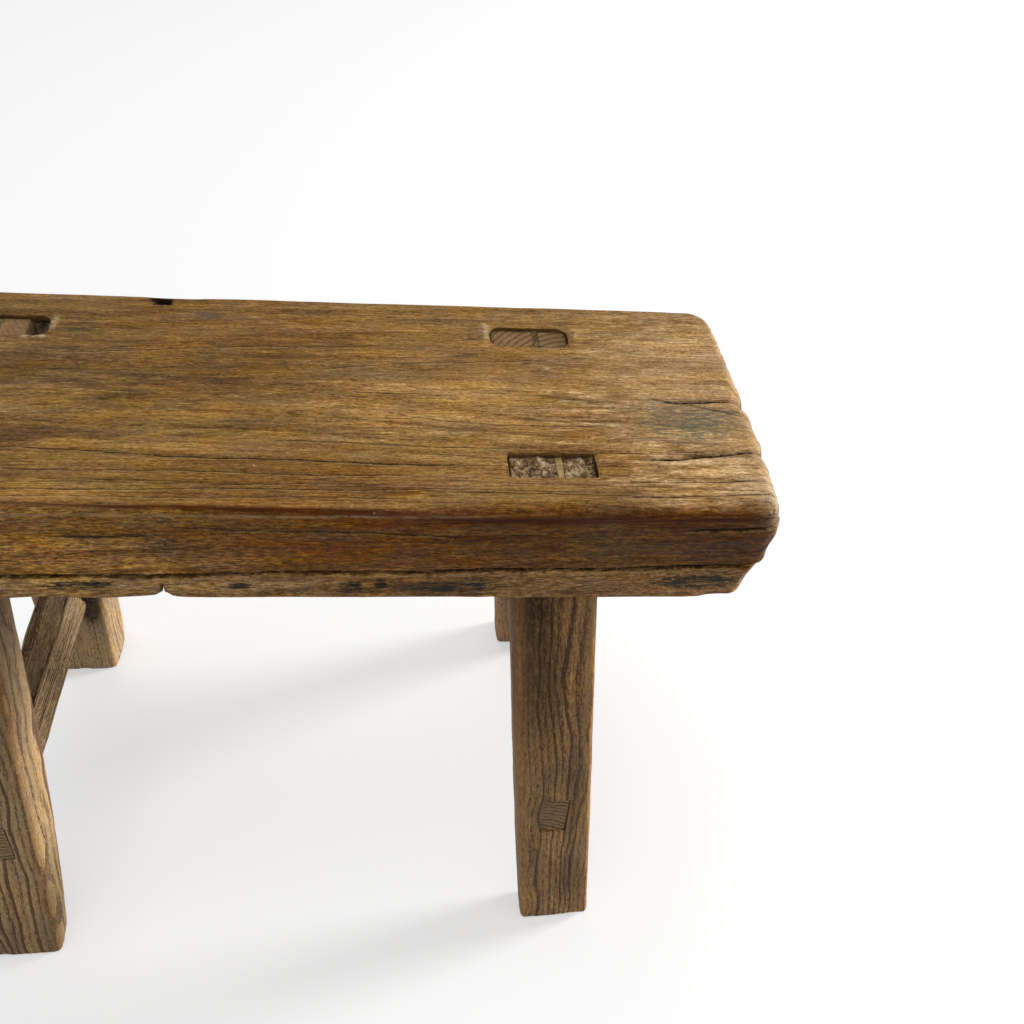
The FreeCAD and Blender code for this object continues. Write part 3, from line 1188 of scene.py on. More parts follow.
@dataclass
class SeatBoard:
    """The worn seat plank with four through mortises. Sizes are millimetres.

    Drops are measured down from the top, and insets inwards from the front edge.
    """

    # Middle step, end step and end zone of the lattice along each axis
    STEPS = ((1.05, 0.5, 8.0), (0.55, 0.42, 6.0), (0.6, 0.45, 5.0))
    FACE_WEAR = (Wave(0.28, (75, 40, 40)), Wave(0.1, (22, 11, 11)), Wave(0.05, (9, 1.9, 1.9), 50))
    END_WEAR = (Wave(0.22, (4, 2.1, 5)), Wave(0.16, (2, 0.9, 2.5), 9))
    CHIP_WEAR = (Wave(1.0, (13, 7, 7), 31),)
    # Depth, place along Y and width of each worn notch in the right end
    NOTCHES = ((2.0, -1.1, 2.2), (0.9, -21.4, 1.6))
    # Drops between which the ends bulge out
    BELLY = (3, 11, 24, 34)
    # Drops between which the notches and the step below the long shake set in
    NOTCH_DROP = (26.0, 8.0)
    SHAKE_DROP = (22.8, 24.6)
    # Height and width of each part of the slit in the lower front edge, and how near the front it opens
    SLIT = ((2.0, 1.2), (0.9, 3.6))
    SLIT_FRONT = (33.0, 42.0)
    # How far a normal has to turn for its place to count as end, as face and as flat
    END_TURN = (0.45, 0.85)
    FACE_TURN = (0.2, 0.6)
    FLAT_TURN = (0.5, 0.9)

    line_of: dict[str, LegLine]
    material: bpy.types.Material
    cracks: Sequence[Crack]
    splinters: Sequence[Splinter]
    bites: Sequence[Bite]
    node: str = "seat_board"
    front_rim_left: float = 1.9
    front_rim_right: float = 5.0
    front_setback: float = 1.6
    setback_start: float = 40.0
    setback_run: float = 100.0
    setback_drop: float = 28.0
    setback_front: float = 25.0
    rear_rim: float = 2.4
    under_radius: float = 2.0
    under_radius_end: float = 2.5
    front_corner: float = 5.0
    rear_corner: float = 6.5
    end_skew_front: float = 1.5
    end_skew_rear: float = 2.4
    end_bulge_y: float = -14.0
    end_zone: float = 30.0
    end_sample: float = 8.0
    open_end: float = 6.0
    end_face_start: float = 12.0
    end_face_full: float = 2.0
    end_belly: float = 2.2
    shake_step: float = 1.5
    slit_x: float = -27.2
    ridge_depth: float = 0.1
    chip_depth: float = 0.5
    chip_reach: float = 4.2
    crack_half_width: float = 0.75
    mortise_length: float = 23.9
    mortise_width: float = 9.1
    mortise_slack: float = 0.25
    mortise_past: float = 6.0
    mortise_corner_front: float = 0.9
    mortise_corner_rear: float = 3.2
    mortise_wobble: float = 0.2
    mouth_sag: float = 0.35
    mouth_reach: float = 0.7
    timber: Timber = Timber(10.0, 173.0, 3.0, -0.03, 1.1, 11)
    low: Points = field(init=False)
    high: Points = field(init=False)
    under_middle: float = field(init=False)
    under_slope: float = field(init=False)

    def __post_init__(self) -> None:
        """Reads the board's box and its sloping underside from its solid."""
        low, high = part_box(self.node)
        self.low = np.array(low) / MM
        self.high = np.array(high) / MM
        points = points_of(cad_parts[self.node].data)
        ends = [points[side * points[:, 0] > self.high[0] - self.end_sample] for side in (-1, 1)]
        left, right = [end[end[:, 2].argmin()] for end in ends]
        self.under_slope = float((right[2] - left[2]) / (right[0] - left[0]))
        self.under_middle = float(left[2] - self.under_slope * left[0])

    def underside(self, x: Points) -> Points:
        """Height of the rough underside, which is hewn thinner to the left."""
        return self.under_middle + self.under_slope * x

    def end_face(self, x: Points) -> Points:
        """1 on the end that X points to, and 0 well away from it."""
        return smooth(x, self.high[0] - self.end_face_start, self.high[0] - self.end_face_full)

    def box_points(self) -> tuple[Points, Points]:
        """Square-edged board as a fine lattice.

        Returns:
            Vertices and faces.
        """
        axes = [stations(low, high, *steps) for low, high, steps in zip(self.low, self.high, self.STEPS)]
        lattice, faces = lattice_box([len(axis) for axis in axes])
        return np.stack([axis[lattice[:, n]] for n, axis in enumerate(axes)], axis=1), faces

    def round_rim(self, points: Points, level: float, side: float, radius: Points) -> Points:
        """Rounds the rim of the top or of the underside.

        Args:
            points: Vertices of the board.
            level: Height of the flat face.
            side: 1 for the top and -1 for the underside.
            radius: Rim radius at each vertex.

        Returns:
            The moved vertices.
        """
        half_x = self.high[0]
        half_y = self.high[1]
        x, y, z = points.T
        inset = np.minimum(half_x - np.abs(x), half_y - np.abs(y))
        depth = side * (level - z)
        near = (inset < radius) & (depth < radius)
        run = np.where(near, radius - inset, 0.0)
        fall = np.where(near, radius - depth, radius)
        reach = np.hypot(run, fall)
        new_inset = np.where(near, radius - run * radius / reach, inset)
        new_z = np.where(near, level - side * (radius - fall * radius / reach), z)
        new_x = np.where(near, x * (half_x - new_inset) / (half_x - inset), x)
        new_y = np.where(near, y * (half_y - new_inset) / (half_y - inset), y)
        return np.stack([new_x, new_y, new_z], axis=1)

    def shape(self, points: Points) -> Points:
        """Rounds the board's corners, bows and notches its ends, tapers it and opens its slit.

        Args:
            points: Vertices of the board with rounded rims.

        Returns:
            The moved vertices.
        """
        x, y, z = points.T
        corner = np.where(y < 0, self.front_corner, self.rear_corner)
        x, y = round_corners(x, y, self.high[0], self.high[1], corner)
        off = y - self.end_bulge_y
        front = self.end_skew_front * (off / (self.low[1] - self.end_bulge_y)) ** 2
        rear = self.end_skew_rear * (off / (self.high[1] - self.end_bulge_y)) ** 2
        skew = np.where(off < 0, front, rear)
        x = x - np.sign(x) * skew * smooth(np.abs(x), self.high[0] - self.end_zone, self.high[0])
        lean = smooth(self.setback_start - x, 0, self.setback_run)
        lean = lean * smooth(z, self.high[2] - self.setback_drop, self.high[2])
        y = y + self.front_setback * lean * smooth(-y, self.setback_front, self.high[1])
        x = x - self.end_notches(y, z) * self.end_face(x)
        drop = self.high[2] - z
        x = x + self.end_belly * np.sign(x) * hump(drop, *self.BELLY) * self.end_face(np.abs(x))
        share = drop / (self.high[2] - self.low[2])
        z = self.high[2] - share * (self.high[2] - self.underside(x))
        gape = sum(height * bell(x, self.slit_x, width) for height, width in self.SLIT)
        return np.stack([x, y, z + gape * smooth(-y, *self.SLIT_FRONT) * share ** 5], axis=1)

    def end_notches(self, y: Points, z: Points) -> Points:
        """Wears the right end back where its cracks come out, and below its long shake.

        Args:
            y: Places along Y.
            z: Heights of the same vertices.

        Returns:
            How far back each vertex lies.
        """
        low, high = [self.high[2] - drop for drop in self.NOTCH_DROP]
        worn = sum(depth * bell(y, place, width) for depth, place, width in self.NOTCHES)
        return worn * smooth(z, low, high) + self.shake_step * smooth(self.high[2] - z, *self.SHAKE_DROP)

    def groove(self, crack: Crack, points: Points, normals: Points) -> Points:
        """How far each vertex lies in a crack's groove, from 0 to 1.

        Args:
            crack: The crack.
            points: Vertices of the board.
            normals: Their normals.

        Returns:
            One number for each vertex.
        """
        x, y, z = points.T
        end = smooth(np.abs(normals[:, 0]), *self.END_TURN)
        share = (x - crack.start) / (crack.end - crack.start)
        window = hump(share, -0.02, 0.12, 0.97, 1.03)
        if abs(crack.end) > self.high[0] - self.open_end:
            window = smooth(share, -0.02, 0.3)
        if crack.face is Face.TOP:
            side = np.maximum(smooth(normals[:, 2], *self.FACE_TURN), end)
            window = window * smooth(z, self.high[2] - 14, self.high[2] - 4)
            level = y
        else:
            end = end * (1 - smooth(y - self.low[1], 4, 42))
            side = np.maximum(smooth(-normals[:, 1], *self.FACE_TURN), end)
            level = z
        reach = np.abs(level - crack.level(x)) / self.crack_half_width
        return window * side * np.clip(1 - reach, 0, 1)

    def carve(self, points: Points, normals: Points) -> tuple[Points, Points]:
        """Wears the smooth board: waves, ridged grain, chipped rims, rough ends, cracks and knocks.

        Args:
            points: Vertices of the smooth board.
            normals: Their normals.

        Returns:
            The moved vertices, and how deep each one lies in a crack or chip.
        """
        noise = WearNoise(21)
        x, y, z = points.T
        lift = noise.waves(points, self.FACE_WEAR)
        lift += self.ridge_depth * (ring_ridge(self.timber.rings(points)) - 0.5)
        lift += smooth(np.abs(normals[:, 0]), *self.END_TURN) * noise.waves(points, self.END_WEAR)
        rims = [self.high[0] - np.abs(x), self.high[1] - np.abs(y),
                np.minimum(self.high[2] - z, z - self.underside(x))]
        near = np.sort(np.stack(rims), axis=0)
        edge = bell(near[0] + near[1], 0.0, self.chip_reach)
        chips = edge * smooth(noise.waves(points, self.CHIP_WEAR), 0.2, 0.75)
        lift -= self.chip_depth * chips
        sunk = 0.3 * chips
        for crack in self.cracks:
            if crack.depth > 0.0:
                groove = self.groove(crack, points, normals)
                lift -= crack.depth * groove
                sunk = np.maximum(sunk, groove * min(crack.depth, 1.0))
        raised = smooth(normals[:, 2], *self.FLAT_TURN)
        for splinter in self.splinters:
            lift += raised * splinter.lift * splinter.weight(points)
        return points + normals * lift[:, None], sunk

    def mortise(self, name: str) -> bpy.types.Object:
        """Makes the cutter for one leg's mortise, a little slack towards the rear.

        Args:
            name: Which leg, such as front_left.

        Returns:
            The cutter.
        """
        line = self.line_of[name]
        heights = np.linspace(self.low[2] - self.mortise_past, self.high[2] + self.mortise_past, 12)
        corner = self.mortise_corner_rear if name.startswith("rear") else self.mortise_corner_front
        sizes = (self.mortise_length / 2, self.mortise_width / 2, corner)
        bar = Bar(heights, *[np.full(len(heights), size) for size in sizes], count_a=34, count_b=18)
        places, _, faces = bar.build()
        x, y = line.at(places[:, 2])
        points = np.stack([x + places[:, 0], y + places[:, 1] + self.mortise_slack, places[:, 2]], axis=1)
        wobble = WearNoise(5).at(points, (4, 4, 9))
        points[:, :2] += self.mortise_wobble * wobble[:, None] * np.sign(places[:, :2])
        return make_object("mortise_" + name, points, faces)

    def mouth_distance(self, points: Points) -> Points:
        """Measures how near the mortises are.

        Args:
            points: Vertices of the board.

        Returns:
            Distance in plan from each vertex to the nearest mouth.
        """
        nearest = np.full(len(points), np.inf)
        for line in self.line_of.values():
            x, y = line.at(points[:, 2])
            past_x = np.maximum(np.abs(points[:, 0] - x) - self.mortise_length / 2, 0)
            past_y = np.maximum(np.abs(points[:, 1] - y - self.mortise_slack) - self.mortise_width / 2, 0)
            nearest = np.minimum(nearest, np.hypot(past_x, past_y))
        return nearest

    def build(self) -> bpy.types.Object:
        """Makes the board.

        Returns:
            The finished piece.
        """
        points, faces = self.box_points()
        back = smooth(points[:, 1], 0.0, self.high[1] - 6)
        worn = smooth(points[:, 0], 0.0, self.high[0] - 20)
        rim = self.front_rim_left + (self.front_rim_right - self.front_rim_left) * worn
        points = self.round_rim(points, self.high[2], 1, rim + (self.rear_rim - rim) * back)
        right = smooth(points[:, 0], self.high[0] - 22, self.high[0])
        points = self.round_rim(points, self.low[2], -1, self.under_radius + self.under_radius_end * right)
        points = self.shape(points)
        piece = make_object("seat_plank", points, faces)
        smooth_normals = normals_of(piece.data)
        points, sunk = self.carve(points, smooth_normals)
        lip = np.exp(-self.mouth_distance(points) / self.mouth_reach)
        points[:, 2] -= self.mouth_sag * lip * smooth(smooth_normals[:, 2], *self.FLAT_TURN)
        move_points(piece.data, points)
        paint(piece.data, "sunk", sunk)
        cutters = [self.mortise(name) for name in self.line_of]
        cutters += [bite.cutter("bite_%d" % number) for number, bite in enumerate(self.bites)]
        cut_out(piece, cutters)
        self.dress(piece)
        finish_piece(piece, self.material, self.node)
        return piece

    def ridge(self, points: Points) -> Points:
        """Red-brown ridge along the front edge: a thin line at the left, a broad band at the right.

        Args:
            points: Vertices of the board.

        Returns:
            How strong the ridge is at each vertex.
        """
        x, y, z = points.T
        drop = self.high[2] - z
        inset = y - self.low[1]
        worn = smooth(x, 15.0, 75.0)
        line = np.clip(3.5 - 0.035 * (x + 56), 0.1, 3.8)
        thin = bell(inset, line, 0.7) * smooth(1.8 - drop, 0.0, 0.8)
        band = bell(drop, 1.8 + 2.2 * worn, 1.3 + 0.9 * worn) * smooth(6 - inset, 0.0, 2.0)
        return np.clip(thin * (1 - worn) + band * smooth(x, -10.0, 35.0), 0, 1)

    def dress(self, piece: bpy.types.Object) -> None:
        """Paints the layers that the finish reads.

        Args:
            piece: The cut board.
        """
        mesh = piece.data
        points = points_of(mesh)
        normals = normals_of(mesh)
        sunk = np.zeros(len(points), np.float32)
        mesh.attributes["sunk"].data.foreach_get("value", sunk)
        x, y, z = points.T
        drop = self.high[2] - z
        top = smooth(normals[:, 2], 0.35, 0.75) * smooth(z, self.high[2] - 7, self.high[2] - 4)
        front = smooth(-normals[:, 1], 0.3, 0.75) * smooth(-y, self.high[1] - 6, self.high[1] - 3)
        mouth = self.mouth_distance(points)
        inside = smooth(1.2 - mouth, 0.9, 1.2) * smooth(drop - 0.8, 0.0, 0.6)
        under = smooth(-normals[:, 2], 0.3, 0.8)
        broken = sum(bite.holds(points) for bite in self.bites)
        fresh = sum(splinter.weight(points) for splinter in self.splinters) * top
        # Pale specks on the worn front right corner: partly wear, partly painted glints.
        corner_wear_and_glints = bell(x, 134, 5) * bell(y, -38, 7) * bell(drop, 0, 7)
        # Darkening: partly soiling and partly painted shade in cracks and chips, painted shade inside the
        # mortises, on the underside and in the nicks, and darker round the mortise mouths on the top.
        grime = sunk * 0.9 + inside + 0.35 * under + 0.25 * np.exp(-mouth / 0.8) * top + 0.85 * broken
        end_edge = bell(drop, 1.4, 1.6) * smooth(np.abs(x), self.high[0] - 9, self.high[0] - 2)
        pale_line = bell(drop, 2.3, 0.45) * smooth(-y, 38, 41) * (1 - smooth(x, 15.0, 75.0))
        paint_wood(mesh, points, ring=self.timber.rings(points), grime=np.clip(grime - fresh, 0, 1),
                   rub=np.clip(end_edge * 0.8 + pale_line, 0, 1),
                   fresh=np.clip(fresh + 0.8 * corner_wear_and_glints, 0, 1),
                   end=smooth(np.abs(normals[:, 0]), 0.55, 0.9) * (1 - inside))
        paint(mesh, "top", top)
        paint(mesh, "front", front)
        paint(mesh, "ridge", self.ridge(points))


@dataclass(frozen=True)
class SmudgeAndShade:
    """A dark place on a leg: a soft egg about a place by height, across and deep, in millimetres. Some are
    marks on the wood and some are painted shade.
    """

    place: tuple[float, float, float]
    half: tuple[float, float, float]
    strength: float

    def weight(self, local: Points) -> Points:
        """How dark each place is, from 0 to the full strength."""
        off = (local - np.array(self.place)) / np.array(self.half)
        return self.strength * np.exp(-np.sum(off ** 2, axis=1) ** 1.5)


@dataclass(frozen=True)
class LegCharacter:
    """What tells one leg from another: timber and finish, tenon end, wedge and dark places."""

    timber: Timber
    end_roughness: float
    tenon_corner: float = 0.8
    rot_depth: float = 0.0
    side_bulge: float = 0.4
    wedge_grime: float = 0.1
    end_grime: float = 0.1
    end_rub: float = 0.0
    # Lightens the whole shaft towards its rubbed colour: partly the leg's own tone, partly painted light on
    # a shaded face.
    face_tone_and_light: float = 0.0
    smudges_and_shade: tuple[SmudgeAndShade, ...] = ()
    finish: WoodFinish = LEG_FINISH


@dataclass
class Leg:
    """One splayed leg: tapered shaft, shoulder and through tenon. Sizes are millimetres."""

    SHAFT_WEAR = (Wave(0.35, (45, 16, 16)), Wave(0.12, (14, 5, 5)))
    TIP_WEAR = (Wave(0.45, (2.6, 2.0, 3)), Wave(0.3, (1.1, 0.9, 2), 7))
    FOOT_WEAR = (Wave(1.0, (6, 6, 6)),)
    FOOT_RINGS = (0.0, 0.35, 0.9, 1.6)
    # How far apart the legs lie in the space of the grain, so that no two look alike
    GRAIN_STEP = 37.0

    name: str
    line: LegLine
    seat: SeatBoard
    material: bpy.types.Material
    character: LegCharacter
    width_shoulder: float = 24.3
    width_foot: float = 27.0
    outer_shoulder: float = 8.2
    inner_shoulder: float = 10.2
    inner_swell: float = 13.1
    swell_height: float = 95.0
    hollow_power: float = 2.4
    edge_radius: float = 1.8
    foot_bevel: float = 2.5
    tenon_width: float = 23.3
    tenon_thickness: float = 8.5
    ridge_depth: float = 0.08
    foot_reach: float = 3.0
    arris_reach: float = 2.6
    outline_reach: float = 0.6
    shaft_rings: int = 160
    tenon_rings: int = 30

    def shoulder_height(self) -> float:
        """Height at which the shaft's middle meets the seat's underside."""
        x, _ = self.line.at(np.array(self.seat.under_middle))
        return float(self.seat.underside(x))

    def width_at(self, height: Points) -> Points:
        """Width of the shaft at some heights."""
        return self.width_foot + (self.width_shoulder - self.width_foot) * height / self.seat.under_middle

    def outer_at(self, height: Points) -> Points:
        """Depth from the centre line to the flat outer face at some heights."""
        low = self.line.OUTER_FOOT
        return low + (self.outer_shoulder - low) * height / self.seat.under_middle

    def inner_at(self, height: Points) -> Points:
        """Depth from the centre line to the swelling inner face.

        Args:
            height: Heights above the floor.

        Returns:
            The depth at each height.
        """
        hollow = np.clip(1 - height / self.swell_height, 0, 1) ** self.hollow_power
        up = np.clip((height - self.swell_height) / (self.seat.under_middle - self.swell_height), 0, None)
        swell = self.inner_swell + (self.line.inner_foot - self.inner_swell) * hollow
        return swell + (self.inner_shoulder - self.inner_swell) * up

    def face_y(self, height: Points, outer: bool) -> Points:
        """Finds the outer or the inner face.

        Args:
            height: Heights above the floor.
            outer: True for the outer face.

        Returns:
            Y of the face at each height.
        """
        _, y = self.line.at(height)
        depth = self.outer_at(height) if outer else -self.inner_at(height)
        return y + self.line.outward() * depth

    def bar(self) -> tuple[Bar, Points]:
        """Rings of the leg from foot to tenon end.

        Returns:
            The bar, and how far each ring lies outwards of the centre line.
        """
        shoulder = self.shoulder_height()
        shaft = np.append(self.FOOT_RINGS, np.linspace(self.foot_bevel, shoulder, self.shaft_rings))
        inset = self.line.FOOT_INSET * (1 - np.sqrt(1 - np.clip(1 - shaft / self.foot_bevel, 0, 1) ** 2))
        outer, inner = self.outer_at(shaft), self.inner_at(shaft)
        tenon = np.linspace(shoulder, self.line.top[2], self.tenon_rings)
        ones = np.ones(len(tenon))
        half_a = np.concatenate([self.width_at(shaft) / 2 - inset, ones * self.tenon_width / 2])
        half_b = np.concatenate([(outer + inner) / 2 - inset, ones * self.tenon_thickness / 2])
        radius = np.concatenate([np.full(len(shaft), self.edge_radius), ones * self.character.tenon_corner])
        shift = np.concatenate([(outer - inner) / 2, ones * 0])
        return Bar(np.concatenate([shaft, tenon]), half_a, half_b, radius, count_a=34, count_b=24), shift

    def place(self, local: Points, shift: Points, bulge: Points) -> Points:
        """Moves (a, b, height) places onto the leaning centre line.

        Args:
            local: Places in the bar.
            shift: How far each lies outwards of the centre line.
            bulge: How far each is pushed sideways.

        Returns:
            Places in the stool's frame, with the shoulder laid against the seat.
        """
        shoulder = self.shoulder_height()
        x, y = self.line.at(local[:, 2])
        x = x + local[:, 0] + np.sign(local[:, 0]) * bulge
        y = y + local[:, 1] + self.line.outward() * shift
        tilt = self.seat.under_slope * local[:, 0] * smooth(local[:, 2], shoulder - 30, shoulder)
        tilt = tilt * (1 - smooth(local[:, 2], shoulder, shoulder + 4))
        return np.stack([x, y, local[:, 2] + tilt], axis=1)

    def local(self, points: Points) -> Points:
        """Height, across and deep of each vertex, from the centre line."""
        x, y = self.line.at(points[:, 2])
        return np.stack([points[:, 2], points[:, 0] - x, points[:, 1] - y], axis=1)

    def grain(self, points: Points) -> Points:
        """Along, across and deep for each vertex, told apart from the other legs by an offset."""
        return self.local(points) + np.array([self.GRAIN_STEP * self.character.timber.seed, 0, 0])

    def rot(self, grain: Points, low: float, high: float) -> Points:
        """How rotten the inner end of the tenon's tip is, from 0 at low to 1 at high."""
        return smooth(-math.copysign(1.0, self.line.top[0]) * grain[:, 1], low, high)

    def carve(self, piece: bpy.types.Object) -> None:
        """Wears the shaft and its foot, and roughens or rots the tenon's end grain.

        Args:
            piece: The smooth leg.
        """
        points = points_of(piece.data)
        normals = normals_of(piece.data)
        grain = self.grain(points)
        timber = self.character.timber
        noise = WearNoise(40 + timber.seed)
        lift = noise.waves(grain, self.SHAFT_WEAR)
        lift += self.ridge_depth * (ring_ridge(timber.rings(grain)) - 0.5)
        lift *= smooth(self.shoulder_height() - points[:, 2], 0.0, 1.5)
        tip = smooth(points[:, 2], self.line.top[2] - 0.3, self.line.top[2] - 0.05)
        tip = tip * smooth(normals[:, 2], 0.3, 0.8)
        lift += tip * (noise.waves(points, self.TIP_WEAR) - 0.25) * self.character.end_roughness
        lift -= tip * self.character.rot_depth * self.rot(grain, 5.5, 8.5)
        foot = np.exp(-points[:, 2] / self.foot_reach)
        lift -= foot * np.clip(noise.waves(points, self.FOOT_WEAR), 0, 1)
        moved = points + normals * lift[:, None]
        moved[:, 2] = np.maximum(moved[:, 2], 0.0)
        move_points(piece.data, moved)

    def build(self, cutters: Sequence[bpy.types.Object]) -> bpy.types.Object:
        """Makes the leg.

        Args:
            cutters: The kerf for its wedge and the mortise for its stretcher.

        Returns:
            The finished piece.
        """
        bar, shift = self.bar()
        local, ring, faces = bar.build()
        depth = local[:, 1] / bar.half_b[ring]
        bulge = self.character.side_bulge * (1 - depth ** 2) * (ring < len(bar.along) - self.tenon_rings)
        piece = make_object("splayed_leg_" + self.name, self.place(local, shift[ring], bulge), faces)
        self.carve(piece)
        cut_out(piece, cutters)
        self.dress(piece)
        finish_piece(piece, self.material, "leg_" + self.name)
        return piece

    def dress(self, piece: bpy.types.Object) -> None:
        """Paints the layers that the finish reads.

        Args:
            piece: The cut leg.
        """
        mesh = piece.data
        points = points_of(mesh)
        normals = normals_of(mesh)
        grain = self.grain(points)
        kind = self.character
        shoulder = self.shoulder_height()
        height = points[:, 2]
        across = np.abs(grain[:, 1])
        tenon = smooth(height, shoulder + 6, shoulder + 10)
        tip = tenon * smooth(normals[:, 2], 0.3, 0.8)
        to_side = np.minimum(self.tenon_width / 2 - across, self.tenon_thickness / 2 - np.abs(grain[:, 2]))
        # Painted shade along the gap round the tenon end.
        outline = tip * bell(np.maximum(to_side, 0), 0.0, self.outline_reach)
        rotten = tip * min(kind.rot_depth, 1.0) * self.rot(grain, 5.0, 7.5)
        under_seat = smooth(height, shoulder - 25, shoulder) * (1 - tenon)
        # Darkening: soiling on the tenon end; painted shade on the tenon's sides in the mortise, under the
        # seat and along the gap round the tenon end; rot and painted shade in the rotten hollow; darker at
        # the foot; and the leg's dark spots, some of them painted shade.
        grime = kind.end_grime * tip + 0.8 * (tenon - tenon * tip) + 0.35 * np.exp(-height / 2.5)
        grime = grime + 0.3 * under_seat + 0.75 * outline + 0.85 * rotten
        grime = grime + sum(dark_spot.weight(self.local(points)) for dark_spot in kind.smudges_and_shade)
        out = grain[:, 2] * self.line.outward()
        side = self.width_at(height) / 2 - across
        face = np.minimum(self.outer_at(height) - out, out + self.inner_at(height))
        arris = bell(np.maximum(side, 0) + np.maximum(face, 0), 0.0, self.arris_reach)
        # Pale worn arrises, the shaft's lightening, which is partly painted light, and the rubbed tenon end.
        rub = (0.7 * arris + kind.face_tone_and_light) * (1 - tenon) + kind.end_rub * tip * (1 - rotten)
        sole = smooth(-normals[:, 2], 0.5, 0.9) * (1 - tenon)
        crumb = float(smooth(np.array(kind.end_roughness), 0.4, 0.8))
        paint_wood(mesh, grain, ring=kind.timber.rings(grain), grime=np.clip(grime, 0, 1),
                   rub=np.clip(rub, 0, 1), end=np.maximum(tip * (1 - crumb), 0.8 * sole), crumb=tip * crumb)


@dataclass
class Wedge:
    """The thin wedge driven into one tenon's kerf. Sizes are millimetres."""

    name: str
    line: LegLine
    material: bpy.types.Material
    grime: float
    thickness_top: float = 1.8
    thickness_tip: float = 0.5
    length: float = 22.0
    width: float = 8.2
    shift: float = 2.0
    ring_width: float = 1.3
    kerf_play: float = 0.12
    kerf_past: float = 1.5
    edge_radius: float = 0.15

    def mesh_object(self, name: str, grow: float, past: float) -> bpy.types.Object:
        """Tapered blade on the leg's line.

        Args:
            name: Name of the object.
            grow: How much fatter each flat side is.
            past: How much further it runs at both ends and both edges.

        Returns:
            The object.
        """
        top = self.line.top[2]
        heights = np.linspace(top - self.length - past, top + past, 24)
        share = np.clip((heights - (top - self.length)) / self.length, 0, 1)
        half_a = (self.thickness_tip + (self.thickness_top - self.thickness_tip) * share) / 2 + grow
        half_b = np.full(len(heights), self.width / 2 + past)
        radius = np.full(len(heights), self.edge_radius)
        local, _, faces = Bar(heights, half_a, half_b, radius, count_a=6, count_b=18).build()
        x, y = self.line.at(local[:, 2])
        side = math.copysign(self.shift, self.line.top[0])
        points = np.stack([x + side + local[:, 0], y + local[:, 1], local[:, 2]], axis=1)
        return make_object(name, points, faces)

    def kerf(self) -> bpy.types.Object:
        """Cutter for the saw kerf that holds the wedge."""
        return self.mesh_object("kerf_" + self.name, self.kerf_play, self.kerf_past)

    def build(self) -> bpy.types.Object:
        """Makes the wedge.

        Returns:
            The finished piece.
        """
        piece = self.mesh_object("tenon_wedge_" + self.name, 0.0, 0.0)
        points = points_of(piece.data)
        tip = smooth(points[:, 2], self.line.top[2] - 0.5, self.line.top[2])
        points[:, 2] -= tip * (0.25 + 0.3 * WearNoise(3).at(points, (1.2, 1.6, 2)))
        move_points(piece.data, points)
        x, y = self.line.at(points[:, 2])
        grain = np.stack([points[:, 2], points[:, 0] - x, points[:, 1] - y], axis=1)
        grime = np.full(len(points), self.grime)
        paint_wood(piece.data, grain, ring=grain[:, 2] / self.ring_width, grime=grime)
        finish_piece(piece, self.material, "wedge_" + self.name)
        return piece


